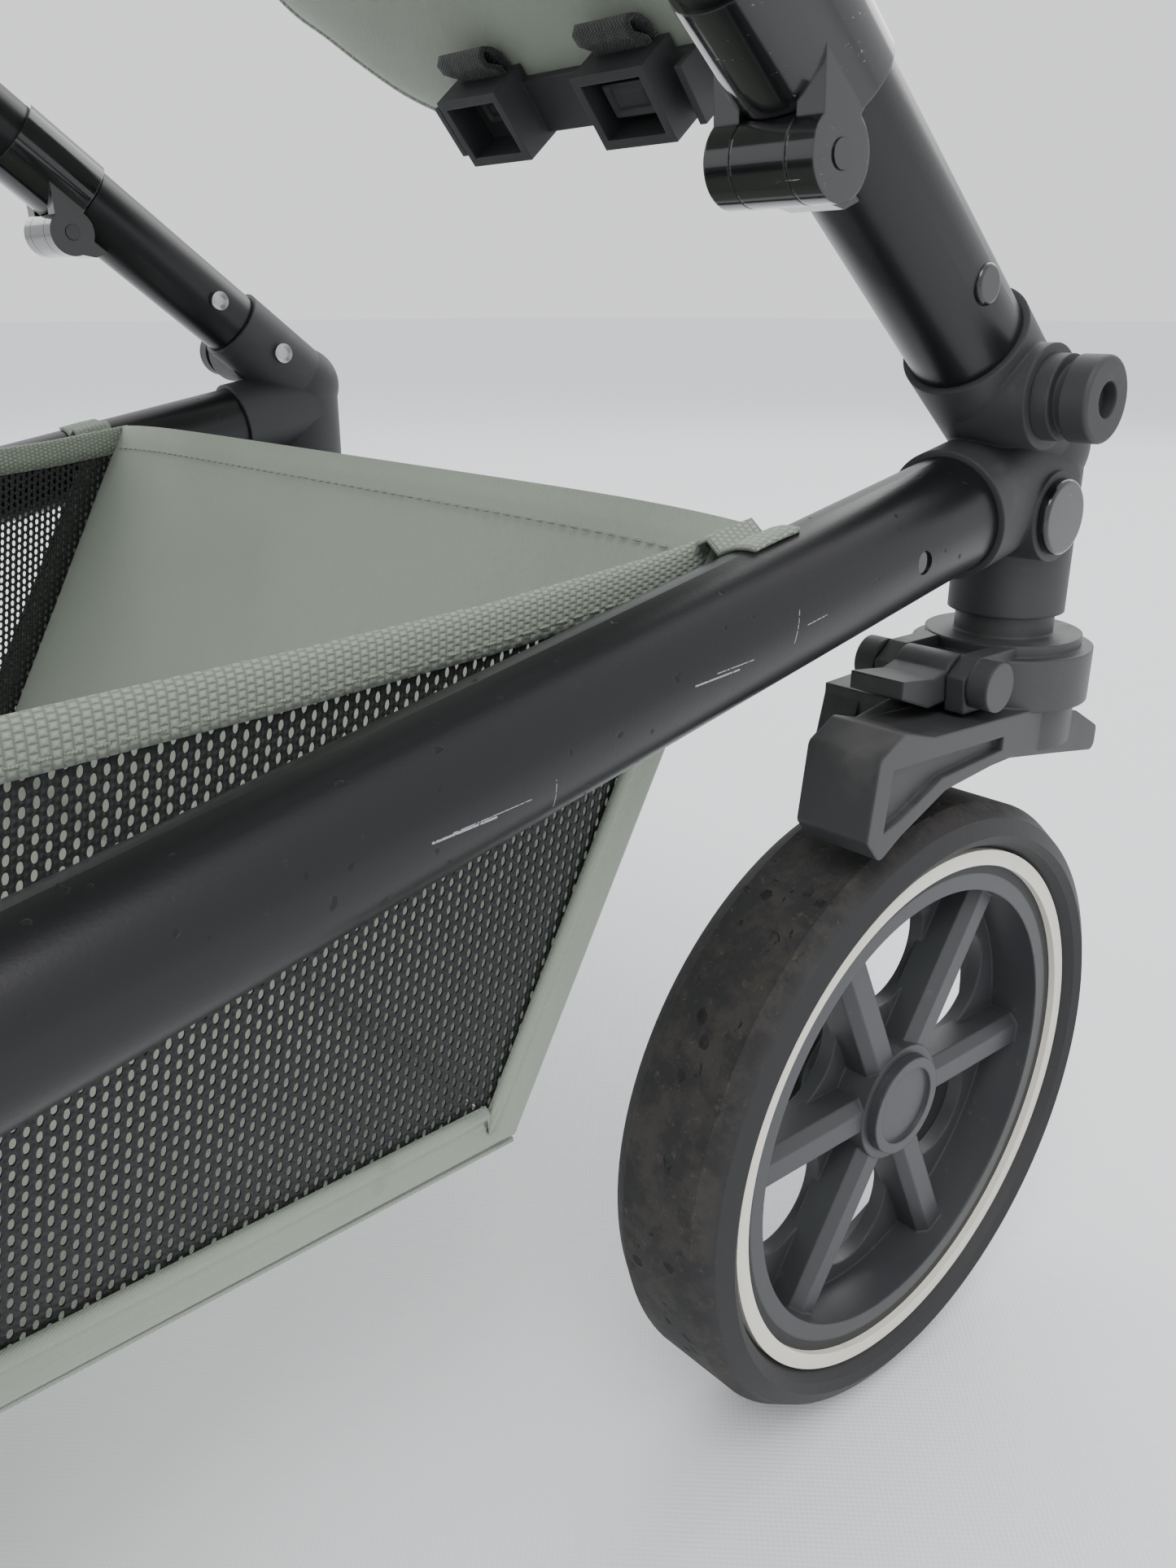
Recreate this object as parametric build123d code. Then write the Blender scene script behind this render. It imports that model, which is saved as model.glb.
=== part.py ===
from build123d import *
import os
from math import cos, radians, sin, sqrt, tan

# Four-wheel pushchair.  It faces -Y, +X is the child's left, +Z is up.
# It is drawn with Y = 0 on the front swivel axis, Z = 0 on the floor and X = 0 in the middle
# plane, and saved with Y = 0 half way between the front of the front wheels and the back of
# the rear wheels.
# Right-hand pieces are drawn first and the left-hand ones are their mirror images.

os.makedirs("parts", exist_ok=True)

# ---- overall layout -------------------------------------------------------
half_track = 201.4          # swivel axis to the middle plane
post_slope = 38.3           # front post and main tube above the horizontal, degrees
post_base = 298.5           # height of the post axis on the swivel axis
lower_slope = -10.5         # lower tube, degrees
lower_base = 289.5          # height of the lower tube axis on the swivel axis
lower_splay = 0.026         # outward drift of the lower tube, mm per mm of length
handle_slope = 43.0         # handle sleeves, degrees
joint_y = 350.0             # side joint, where seat, handle and main tube meet
axle_y = 635.0              # rear axle
rear_wheel_radius = 145.0
rear_wheel_x = 279.0
fit = 0.05                  # running clearance, radius
gap = 0.4                   # clearance beside soft pieces and loose neighbours

# ---- tubes ------------------------------------------------------------------
lower_tube_radius = 16.1
lower_tube_wall = 1.6
post_radius = 15.2
post_wall = 1.6
lower_tube_start = 26.0
lower_tube_end = 596.0
post_start_y = 26.0
cross_tube_radius = 9.0
cross_tube_y = 73.7
cross_tube_drop = 9.0

# ---- front corner -----------------------------------------------------------
housing_radius = 17.0
housing_bottom = 250.7
cuff_wall = 1.9
lower_cuff_end = 40.0
upper_cuff_end = 37.0
stem_radius = 8.0
stem_top = 282.0
stud_y = 26.2
stud_z = 313.6
stud_radius = 11.0
stud_reach = 36.0           # stud face from the post axis
cover_y = 12.0
cover_z = 281.0
cover_radius = 10.5
post_cap_y = 53.5

# ---- fold hinge ---------------------------------------------------------------
hinge_y = 114.1
hinge_offset = 18.4         # pin below the main tube axis
hinge_width = 30.0
knuckle_radius = 9.5
knuckle_width = 15.0
pin_radius = 3.0
casting_length = 36.0
casting_wall = 1.6
split_gap = 0.5
fold_turn = 40.0            # how far the main tube folds down, degrees

# ---- front wheel and fork -----------------------------------------------------
front_wheel_radius = 100.0
front_axle_y = 46.4
front_tyre_half = 21.3
front_ring_radius = 83.4
front_hub_radius = 19.3
front_cap_reach = 12.4
axle_radius = 5.0
fork_head_radius = 23.0
fork_head_top = 244.0
fork_head_bottom = 212.0
collar_radius = 26.5
wing_outer = 21.0
wing_inner = 2.0
spoke_turn = -26.0           # where the first spoke stands, degrees from straight up
arm_gap = 5.0
arm_thickness = 13.0
lever_y = 37.0
lever_z = 237.0

# ---- rear wheel -----------------------------------------------------------------
rear_tyre_half = 24.0
rear_ring_radius = 122.0
rear_hub_radius = 24.0
rear_cap_reach = 14.0
axle_tube_radius = 12.0

# ---- rear leg and its slider ------------------------------------------------------
leg_pivot_y = 590.0
leg_pivot_z = 185.0
slider_y = 240.0
slider_length = 34.0
slider_wall = 5.0
leg_x = 244.0               # middle of the flat leg
leg_thickness = 11.0
leg_width = 26.0
leg_pin_radius = 5.0

# ---- side joint, handle ---------------------------------------------------------------
joint_radius = 34.0
joint_half = 21.0
hub_radius = 30.0
hub_depth = 12.0
button_radius = 11.0
button_travel = 3.0
sleeve_length = 270.0
handle_radius = 12.6
handle_wall = 1.5
handle_overlap = 150.0
handle_reach = 190.0        # handle tube beyond the sleeves, to the middle of the grip
handle_bend = 62.0
grip_radius = 17.0
grip_half = 120.0

# ---- basket ---------------------------------------------------------------------------
basket_half = 186.0
basket_wall = 2.5
basket_front_y = 104.0
basket_front_z = 283.0
basket_floor_front = 182.0
basket_floor_z = 141.0
basket_floor_rear = 545.0
basket_rear_y = 578.0
basket_rear_z = 262.0

# ---- seat -------------------------------------------------------------------------------
rail_radius = 9.0
seat_half = 154.0           # seat rails from the middle plane
seat_front_y = 78.0
seat_front_z = 520.0
back_top_y = 497.0
back_top_z = 917.0
pad_half = 144.9
pan_rear_y = 322.0
pan_rear_z = 486.0
pad_thickness = 24.0
back_thickness = 26.0
foot_tip_y = -22.0
foot_tip_z = 404.0
foot_half = 62.0
foot_thickness = 15.0
plate_half = 68.0
clip_x = 39.0
foot_bar_radius = 6.0
back_length = 398.0
bar_pivot_along = 130.0
canopy_pivot_along = 195.0
boss_radius = 11.0
small_pin_radius = 5.0
canopy_radius = 236.0
canopy_half = 180.0
canopy_corner = 56.0
canopy_sheet = 2.4
canopy_step = 4.0
canopy_angles = ((48.0, 100.0), (97.0, 128.0), (125.0, 156.0))
bar_radius = 9.5
bar_front_y = 175.0
bar_front_z = 738.0
bar_bend = 60.0
strap_half = 12.5
strap_thickness = 1.8


middle_y = (front_axle_y - front_wheel_radius + axle_y + rear_wheel_radius) / 2


def unit(slope):
    return Vector(0, cos(radians(slope)), sin(radians(slope)))


post_dir = unit(post_slope)
handle_dir = unit(handle_slope)


def lower_point(y):
    return Vector(-(half_track + lower_splay * y), y, lower_base + y * tan(radians(lower_slope)))


def post_point(y):
    return Vector(-half_track, y, post_base + y * tan(radians(post_slope)))


def rod(start, end, radius):
    start = Vector(start)
    end = Vector(end)
    place = Plane(origin=start, z_dir=end - start)
    return place * Cylinder(radius, (end - start).length, align=(Align.CENTER, Align.CENTER, Align.MIN))


def tube(start, end, radius, wall):
    return rod(start, end, radius) - rod(start, end, radius - wall)


def disc(x0, x1, y, z, radius):
    return rod((x0, y, z), (x1, y, z), radius)


def block(x0, x1, y0, y1, z0, z1):
    return Pos((x0 + x1) / 2, (y0 + y1) / 2, (z0 + z1) / 2) * Box(abs(x1 - x0), abs(y1 - y0), abs(z1 - z0))


def side_plate(points, x0, x1):
    """A flat plate with an outline given in (y, z), between two x planes."""
    outline = Polyline(*[(x0, y, z) for y, z in points], close=True)
    return extrude(make_face(outline), amount=abs(x1 - x0), dir=(1 if x1 > x0 else -1, 0, 0))


def sheet_along(a, b, thickness, half_a, half_b, corner):
    """A flat slab from a to b (y, z), with its lower face on the line a-b."""
    run = Vector(0, b[0] - a[0], b[1] - a[1])
    place = Plane(origin=(0, a[0], a[1]), x_dir=(1, 0, 0), z_dir=Vector(1, 0, 0).cross(run))
    outline = Polyline((-half_a, 0), (half_a, 0), (half_b, run.length), (-half_b, run.length), close=True)
    face = make_face(outline)
    face = fillet(face.vertices(), corner)
    return place * extrude(face, amount=thickness)


def save(name, shape):
    shape = Compound(list(shape)) if isinstance(shape, (list, tuple)) else shape
    shape = Pos(0, -middle_y, 0) * shape
    shape.label = name
    export_step(shape, f"parts/{name}.step")


def flip(shape):
    return mirror(shape, about=Plane.YZ)


def save_sides(name, shape):
    save(name + "_right", shape)
    save(name + "_left", flip(shape))


def save_group(name, shapes):
    save(name, [s for shape in shapes for s in shape.solids()])


def both(*shapes):
    return [s for shape in shapes for s in (shape, flip(shape))]


# ---- named places -----------------------------------------------------------------------
hinge_z = post_point(hinge_y).Z - hinge_offset / cos(radians(post_slope))
split = Vector(-half_track, hinge_y, hinge_z) + hinge_offset * Vector(0, -post_dir.Z, post_dir.Y)
joint = post_point(joint_y)
sleeve_end = joint + handle_dir * sleeve_length
axle_z = rear_wheel_radius
tip = lower_point(lower_tube_end)


# ---- lower tubes: long oval-looking black tubes from the front housing to the rear bracket
lower_tube = tube(lower_point(lower_tube_start), tip, lower_tube_radius, lower_tube_wall)
screw_place = lower_point(cross_tube_y)
lower_tube -= disc(screw_place.X - 30, screw_place.X, screw_place.Y, screw_place.Z, 3.0)
save_group("lower_tubes", both(lower_tube))


# ---- front posts: short tubes from the housing up to the fold hinge
post_start = post_point(post_start_y)
post_end = split - post_dir * split_gap
front_post = tube(post_start, post_end, post_radius, post_wall)
cap_place = post_point(post_cap_y)
front_post -= disc(cap_place.X - 30, cap_place.X, cap_place.Y, cap_place.Z, 5.0)
save_group("front_posts", both(front_post))


# ---- front housing: the moulded elbow that joins post, lower tube and swivel
top = post_point(0)
elbow = rod((-half_track, 0, housing_bottom), (-half_track, 0, post_base), housing_radius)
elbow += Pos(top.X, top.Y, top.Z) * Sphere(housing_radius + 1.0)
elbow += rod(lower_point(0), lower_point(lower_cuff_end), lower_tube_radius + cuff_wall)
elbow += rod(top, post_point(upper_cuff_end), post_radius + cuff_wall)
elbow += disc(-half_track - 20.5, -half_track, stud_y, stud_z, stud_radius + 2.5)
elbow += disc(-half_track - 19.0, -half_track, cover_y, cover_z, cover_radius + 2.0)
elbow -= rod(lower_point(lower_tube_start), lower_point(lower_cuff_end + 20), lower_tube_radius)
elbow -= rod(post_start, post_point(upper_cuff_end + 20), post_radius)
elbow -= rod((-half_track, 0, housing_bottom - 5), (-half_track, 0, stem_top + 1), stem_radius + fit)
elbow = elbow.solids().sort_by(SortBy.VOLUME)[-1]
save_sides("front_housing", elbow)


# ---- transport stud: a grooved plastic stud on the outside of each housing
def stud(x_face):
    inner = -half_track - 20.5
    body = disc(x_face + 7.0, inner, stud_y, stud_z, 8.4)
    body += disc(inner - 5.0, inner, stud_y, stud_z, stud_radius)
    flange = disc(x_face, x_face + 7.5, stud_y, stud_z, stud_radius)
    flange = fillet(flange.edges().group_by(Axis.X)[0], 1.2)
    body += flange
    return body - disc(x_face - 1, x_face + 4.0, stud_y, stud_z, 4.6)


stud_face = -half_track - stud_reach
save_group("transport_studs", both(stud(stud_face)))


# ---- round covers, caps and screws of the front corner
cover = disc(-half_track - 21.8, -half_track - 19.0, cover_y, cover_z, cover_radius)
cover = fillet(cover.edges().group_by(Axis.X)[0], 1.2)
cap_face = cap_place.X - post_radius - 0.8
post_cap = disc(cap_face, cap_face + 5.8, cap_place.Y, cap_place.Z, 4.95)
post_cap = fillet(post_cap.edges().group_by(Axis.X)[0], 1.0)
tube_screw = disc(screw_place.X - lower_tube_radius + 0.8, screw_place.X - 6, screw_place.Y, screw_place.Z, 2.9)
save_group("covers_and_screws", both(cover, post_cap, tube_screw))


# ---- cross tube: braces the two lower tubes in front of the basket
cross_z = screw_place.Z - cross_tube_drop
reach = -screw_place.X - sqrt(lower_tube_radius ** 2 - cross_tube_drop ** 2) + 3.5
cross = tube((-reach, cross_tube_y, cross_z), (reach, cross_tube_y, cross_z), cross_tube_radius, 1.5)
for side in (lower_tube, flip(lower_tube)):
    cross -= side
outer_skin = rod(lower_point(lower_tube_start), tip, lower_tube_radius)
cross -= outer_skin
cross -= flip(outer_skin)
cross = cross.solids().sort_by(SortBy.VOLUME)[-1]
save("cross_tube", cross)


# ---- fold hinge: a knuckle on the post, two ears on the main tube, a pin through both
pin_place = Vector(-half_track, hinge_y, hinge_z)


def barrel(x0, x1, radius):
    return disc(pin_place.X + x0, pin_place.X + x1, hinge_y, hinge_z, radius)


def about_pin(turn, shape):
    return Pos(*pin_place) * Rot(turn, 0, 0) * Pos(*-pin_place) * shape


knuckle_half = knuckle_width / 2
web_low = pin_place - post_dir * (knuckle_radius + 6.0)
web_top = post_end - post_dir * 26.0
lower_casting = barrel(-knuckle_half, knuckle_half, knuckle_radius)
lower_casting += side_plate(
    [(web_low.Y, web_low.Z), (pin_place.Y - 2, pin_place.Z - 8), (pin_place.Y, pin_place.Z),
     (post_end.Y, post_end.Z), (web_top.Y, web_top.Z)],
    pin_place.X - knuckle_half, pin_place.X + knuckle_half)
lower_casting -= rod(post_end - post_dir * 70.0, post_end, post_radius)
lower_casting -= rod(post_end, post_end + post_dir * 60.0, 60.0)
lower_casting += barrel(-knuckle_half, knuckle_half, knuckle_radius) - rod(
    post_end - post_dir * 70.0, post_end, post_radius)
lower_casting -= barrel(-40, 40, pin_radius)
lower_casting = lower_casting.solids().sort_by(SortBy.VOLUME)[-1]
save_group("hinge_knuckles", both(lower_casting))

knuckle_room = barrel(-knuckle_half - 0.3, knuckle_half + 0.3, knuckle_radius + 0.3)
main_start = split + post_dir * split_gap
upper_casting = rod(main_start, split + post_dir * casting_length, post_radius + casting_wall)
upper_casting -= knuckle_room
ear_foot = split + post_dir * 24.0
for inner, outer in ((knuckle_half + 0.3, hinge_width / 2), (-hinge_width / 2, -knuckle_half - 0.3)):
    ear = barrel(inner, outer, knuckle_radius)
    ear += side_plate(
        [(pin_place.Y + post_dir.Z * knuckle_radius, pin_place.Z - post_dir.Y * knuckle_radius),
         (pin_place.Y, pin_place.Z), (main_start.Y, main_start.Z), (ear_foot.Y, ear_foot.Z)],
        pin_place.X + inner, pin_place.X + outer)
    upper_casting += ear
upper_casting -= rod(post_start, split, post_radius + casting_wall + 0.4)
for step in range(9):
    upper_casting -= about_pin(step * fold_turn / 8, rod(post_start, split, post_radius + 0.3))
upper_casting -= rod(main_start - post_dir * 0.2, split + post_dir * (casting_length + 5), post_radius)
upper_casting -= barrel(-40, 40, pin_radius + fit)
upper_casting = upper_casting.solids().sort_by(SortBy.VOLUME)[-1]
save_group("hinge_ears", both(upper_casting))

hinge_pin = barrel(-hinge_width / 2 - 0.4, hinge_width / 2 + 0.4, pin_radius)
save_group("hinge_pins", both(hinge_pin))


# ---- wheels -------------------------------------------------------------------------------
def ring_of(profile):
    """Revolves a closed (x, radius) outline about the wheel axis, which lies along X."""
    outline = Polyline(*[(x, 0, r) for x, r in profile], close=True)
    return revolve(make_face(outline), axis=Axis.X, revolution_arc=360)


def wheel(name, radius, half, ring_r, hub_r, cap_reach, place, spokes=6):
    seat_r = ring_r - 5.5
    step = half - 6.5
    tyre = ring_of([(-step, seat_r), (step, seat_r), (step, ring_r + 2.6), (half - 1.6, ring_r + 5.5),
                    (half, radius - 8.5), (half - 2.6, radius - 3.6), (half - 8.5, radius),
                    (8.5 - half, radius), (2.6 - half, radius - 3.6), (-half, radius - 8.5),
                    (1.6 - half, ring_r + 5.5), (-step, ring_r + 2.6)])
    ring = ring_of([(-step - 2.2, ring_r - 2.4), (-step, ring_r - 2.4), (-step, ring_r + 2.4),
                    (-step - 2.2, ring_r + 2.4)])
    barrel_in = seat_r - 5.5
    rim = ring_of([(-step, barrel_in), (step, barrel_in), (step, seat_r), (-step, seat_r)])
    rim += disc(-cap_reach + 3.0, step, 0, 0, hub_r)
    dish = disc(2.0, 7.0, 0, 0, barrel_in + 1.0)
    middle = (hub_r + barrel_in) / 2 + 2.0
    window = rod((-30, 0, middle), (30, 0, middle), (barrel_in - hub_r) * 0.36)
    for k in range(spokes):
        turn = 360.0 / spokes * k
        rib = block(-cap_reach + 3.5, 4.0, -6.5, 6.5, hub_r - 4.0, barrel_in + 1.0)
        rib = chamfer(rib.edges().filter_by(Axis.Z).group_by(Axis.X)[0], 3.0)
        rim += Rot(turn + spoke_turn, 0, 0) * rib
        dish -= Rot(turn + spoke_turn + 180.0 / spokes, 0, 0) * window
    rim += dish
    rim -= disc(-40, 40, 0, 0, axle_radius + fit)
    rim -= disc(-40, -cap_reach + 6.0, 0, 0, hub_r - 3.0)
    cap = disc(-cap_reach, -cap_reach + 6.0, 0, 0, hub_r - 3.0)
    cap -= disc(-cap_reach - 1, -cap_reach + 1.2, 0, 0, hub_r - 6.5)
    spot = Pos(*place)
    save_sides(name + "_tyre", spot * tyre)
    save_sides(name + "_ring", spot * ring)
    save_sides(name + "_rim", spot * rim)
    save_sides(name + "_hub_cap", spot * cap)


wheel("front_wheel", front_wheel_radius, front_tyre_half, front_ring_radius, front_hub_radius,
      front_cap_reach, (-half_track, front_axle_y, front_wheel_radius))
wheel("rear_wheel", rear_wheel_radius, rear_tyre_half, rear_ring_radius, rear_hub_radius,
      rear_cap_reach, (-rear_wheel_x, axle_y, axle_z))


# ---- fork: swivel stem, head, mudguard plate and one arm down the inner side of the wheel
arm_x0 = -half_track + front_tyre_half + arm_gap
arm_x1 = arm_x0 + arm_thickness
stem = rod((-half_track, 0, fork_head_bottom), (-half_track, 0, stem_top), stem_radius)
head = rod((-half_track, 0, fork_head_bottom), (-half_track, 0, fork_head_top), fork_head_radius)
neck = rod((-half_track, 0, fork_head_top), (-half_track, 0, housing_bottom - gap), 14.5)
fork = head + neck + stem
fork += rod((-half_track, 0, 225.0), (-half_track, 0, 240.5), collar_radius)
wing = side_plate(
    [(-27, 204), (-27, 212), (-12, 220), (18, 226), (66, 229), (80, 233), (90, 228), (93, 206), (87, 199),
     (78, 204), (58, 212), (28, 214), (0, 209)],
    -half_track - wing_outer, -half_track + wing_inner)
wing = fillet(wing.edges().filter_by(Axis.X), 2.5)
recess = side_plate([(86, 207), (84, 224), (64, 223), (30, 221), (30, 217), (60, 216), (78, 209)],
                    -half_track - wing_outer, -half_track - wing_outer + 2.5)
fork += wing - recess
fork += side_plate([(-18, 205), (34, 205), (34, 225), (0, 226), (-18, 218)], -half_track, arm_x1)
fork += side_plate(
    [(-18, 205), (62, 205), (74, 222), (40, 227), (0, 228), (-20, 222)], -half_track - 9, -half_track + 12)
fork += side_plate(
    [(38, 88), (34, 112), (40, 150), (42, 190), (34, 222), (0, 226), (-14, 216), (4, 180), (24, 140),
     (30, 100)],
    arm_x0, arm_x1)
fork += disc(arm_x0, arm_x1, front_axle_y, front_wheel_radius, 17.0)
fork += disc(arm_x0 - 1.5, arm_x0, front_axle_y, front_wheel_radius, 9.0)
fork += disc(-half_track - front_cap_reach + 7.5, arm_x1, front_axle_y, front_wheel_radius, axle_radius)
for x in (-15.0, 9.0):
    fork += side_plate([(10, 228), (lever_y + 6, 229), (lever_y + 7, 239), (lever_y, 244), (10, 243.5)],
                       -half_track + x, -half_track + x + 6.0)
fork -= disc(-half_track - 40, -half_track + 40, lever_y, lever_z, 3.0 + fit)
room_half = front_tyre_half + 2.5
wheel_room = ring_of([(-room_half, 0.1), (room_half, 0.1), (room_half, 105.0), (-room_half, 105.0)])
shaft = disc(-half_track - front_cap_reach + 7.5, arm_x0, front_axle_y, front_wheel_radius, axle_radius)
fork -= Pos(-half_track, front_axle_y, front_wheel_radius) * wheel_room
fork += shaft
fork += disc(-half_track + front_tyre_half - 6.5 + 0.5, arm_x0, front_axle_y, front_wheel_radius, 9.0)
fork = fork.solids().sort_by(SortBy.VOLUME)[-1]
save_sides("fork", fork)

lever = disc(-half_track - 18.0, -half_track + 18.0, lever_y, lever_z, 3.0)
lever += disc(-half_track - 8.6, -half_track + 8.6, lever_y, lever_z, 7.0)
lever += side_plate([(lever_y, lever_z - 5), (lever_y + 14, lever_z - 6), (lever_y + 27, lever_z - 1),
                     (lever_y + 27, lever_z + 4), (lever_y + 12, lever_z + 2), (lever_y, lever_z + 5)],
                    -half_track - 8.6, -half_track + 8.6)
lever += disc(-half_track - 22.0, -half_track - 15.5, lever_y, lever_z, 7.0)
lever += disc(-half_track + 15.5, -half_track + 22.0, lever_y, lever_z, 7.0)
save_sides("swivel_lock_lever", lever)


# ---- rear brackets, axle tube and brake
bracket = rod(lower_point(lower_tube_end - 46), lower_point(lower_tube_end + 3), lower_tube_radius + 3.2)
bracket -= rod(lower_point(lower_tube_end - 50), tip, lower_tube_radius)
bx0 = tip.X - 14.0
bx1 = tip.X + 14.0
shin = side_plate(
    [(tip.Y - 4, tip.Z + 15), (tip.Y + 10, tip.Z + 16), (axle_y + 15, axle_z + 8), (axle_y + 14, axle_z - 14),
     (axle_y - 14, axle_z - 14), (tip.Y - 4, tip.Z - 15)],
    bx0, bx1)
shin -= rod(lower_point(lower_tube_end - 60), tip, lower_tube_radius)
bracket += shin
bracket += disc(tip.X, leg_x * -1 + leg_thickness / 2 + 1.0, leg_pivot_y, leg_pivot_z, 13.0)
bracket += disc(tip.X, -leg_x - leg_thickness / 2 - 1.5, leg_pivot_y, leg_pivot_z, leg_pin_radius)
bracket -= rod(lower_point(lower_tube_end - 60), tip, lower_tube_radius)
bracket -= disc(-400, 0, axle_y, axle_z, axle_tube_radius)
bracket = bracket.solids().sort_by(SortBy.VOLUME)[-1]
save_group("rear_brackets", both(bracket))

hub_face = rear_wheel_x - (rear_tyre_half - 6.5)
axle_tube = disc(-hub_face + 1.0, hub_face - 1.0, axle_y, axle_z, axle_tube_radius)
shaft_half = rear_wheel_x + rear_cap_reach - 8
axle_tube += disc(-shaft_half, shaft_half, axle_y, axle_z, axle_radius)
save("rear_axle", axle_tube)

pedal = disc(-46, 46, axle_y, axle_z, axle_tube_radius + 6.0)
pedal -= disc(-50, 50, axle_y, axle_z, axle_tube_radius + fit)
plate = side_plate([(axle_y + 10, axle_z + 8), (axle_y + 20, axle_z + 22), (axle_y + 62, axle_z + 34),
                    (axle_y + 64, axle_z + 27), (axle_y + 26, axle_z + 12), (axle_y + 15, axle_z - 2)], -42, 42)
pedal += plate - disc(-60, 60, axle_y, axle_z, axle_tube_radius + 3)
save("brake_pedal", pedal)


# ---- main tubes, side joints and handle sleeves
main_tube = tube(split + post_dir * 2.0, joint - post_dir * (joint_radius - 6), post_radius, post_wall)
main_tube -= knuckle_room
main_tube = main_tube.solids().sort_by(SortBy.VOLUME)[-1]
save_group("main_tubes", both(main_tube))

side_joint = disc(joint.X - joint_half, joint.X + joint_half, joint.Y, joint.Z, joint_radius)
side_joint = fillet(side_joint.edges().filter_by(GeomType.CIRCLE), 5.0)
side_joint += rod(joint, joint - post_dir * 40, post_radius + 3.0)
side_joint += rod(joint, joint + handle_dir * 52, post_radius + 3.0)
side_joint -= rod(joint - post_dir * (joint_radius - 6), joint - post_dir * 80, post_radius)
side_joint -= rod(joint + handle_dir * (joint_radius - 6), joint + handle_dir * 80, post_radius)
outer_face = joint.X - joint_half
side_joint -= disc(outer_face - 5, outer_face + 9.0, joint.Y, joint.Z, button_radius + fit)
side_joint = side_joint.solids().sort_by(SortBy.VOLUME)[-1]
save_group("side_joints", both(side_joint))
seat_button = disc(outer_face - 3.5, outer_face + 9.0 - button_travel - 0.5, joint.Y, joint.Z, button_radius)
seat_button = fillet(seat_button.edges().group_by(Axis.X)[0], 1.2)
save_sides("seat_release_button", seat_button)

sleeve_start = joint + handle_dir * (joint_radius - 6)
sleeve = tube(sleeve_start, sleeve_end, post_radius, post_radius - handle_radius - fit)
collar = rod(sleeve_end - handle_dir * 26, sleeve_end + handle_dir * 4, post_radius + 3.0)
collar -= rod(sleeve_end - handle_dir * 30, sleeve_end, post_radius)
collar -= rod(sleeve_end - handle_dir * 30, sleeve_end + handle_dir * 8, handle_radius + fit)
save_group("handle_sleeves", both(sleeve))
save_group("handle_collars", both(collar))


# ---- handle: one bent tube that slides in both sleeves, a padded grip and a button
low = sleeve_end - handle_dir * handle_overlap
high = sleeve_end + handle_dir * handle_reach
far_high = Vector(-high.X, high.Y, high.Z)
far_low = Vector(-low.X, low.Y, low.Z)
path = FilletPolyline(low, high, far_high, far_low, radius=handle_bend)
ring_face = Plane(origin=low, z_dir=handle_dir) * (Circle(handle_radius) - Circle(handle_radius - handle_wall))
handle_tube = sweep(ring_face, path=path)
grip_core = rod((-grip_half, high.Y, high.Z), (grip_half, high.Y, high.Z), grip_radius)
grip_core -= rod((-grip_half - 5, high.Y, high.Z), (grip_half + 5, high.Y, high.Z), handle_radius)
slot_half = 19.0
button_base = Vector(0, high.Y, high.Z) - handle_dir * (grip_radius - 2.5)
button_plane = Plane(origin=button_base, x_dir=(1, 0, 0), z_dir=-handle_dir)
grip_core -= button_plane * Box(2 * slot_half, 18, 20, align=(Align.CENTER, Align.CENTER, Align.MIN))
grip_core = grip_core.solids().sort_by(SortBy.VOLUME)[-1]
save("handle_tube", handle_tube)
save("handle_grip", grip_core)
handle_button = button_plane * Pos(0, 0, 1.6) * Box(
    2 * slot_half - 2 * gap, 18 - 2 * gap, 5.0, align=(Align.CENTER, Align.CENTER, Align.MIN))
save("handle_button", handle_button)


# ---- rear legs and the sliders they push along the main tubes
slide = post_point(slider_y)
slider_reach = post_dir * slider_length / 2
slider = rod(slide - slider_reach, slide + slider_reach, post_radius + slider_wall)
slider -= rod(slide - post_dir * 60, slide + post_dir * 60, post_radius + fit)
boss_end = -leg_x + leg_thickness / 2 + gap
boss = disc(slide.X - post_radius - 1.0, boss_end, slide.Y, slide.Z, 12.0)
slider += boss - rod(slide - post_dir * 60, slide + post_dir * 60, post_radius + 2.0)
slider = slider.solids().sort_by(SortBy.VOLUME)[-1]
save_group("leg_sliders", both(slider))

leg_run = Vector(0, slide.Y - leg_pivot_y, slide.Z - leg_pivot_z)
leg_plane = Plane(origin=(-leg_x - leg_thickness / 2, leg_pivot_y, leg_pivot_z), x_dir=leg_run, z_dir=(1, 0, 0))
leg_shape = SlotCenterToCenter(leg_run.length, leg_width)
leg = leg_plane * Pos(leg_run.length / 2, 0, 0) * extrude(leg_shape, amount=leg_thickness)
leg -= disc(-400, 0, leg_pivot_y, leg_pivot_z, leg_pin_radius + fit)
leg += disc(-leg_x - leg_thickness / 2 - 1.5, -leg_x, slide.Y, slide.Z, leg_pin_radius + 3.0)
save_group("rear_legs", both(leg))


# ---- basket: fabric tub hung between the lower tubes, open on top
outline = [(basket_front_y, basket_front_z), (basket_floor_front, basket_floor_z),
           (basket_floor_rear, basket_floor_z), (basket_rear_y, basket_rear_z)]
tub = side_plate(outline, -basket_half, basket_half)
inside = [(basket_front_y + basket_wall, basket_front_z + 40), (basket_front_y + basket_wall, basket_front_z),
          (basket_floor_front + basket_wall, basket_floor_z + basket_wall),
          (basket_floor_rear - basket_wall, basket_floor_z + basket_wall),
          (basket_rear_y - basket_wall, basket_rear_z), (basket_rear_y - basket_wall, basket_rear_z + 90)]
tub -= side_plate(inside, -basket_half + basket_wall, basket_half - basket_wall)
save("basket", tub)


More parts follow.
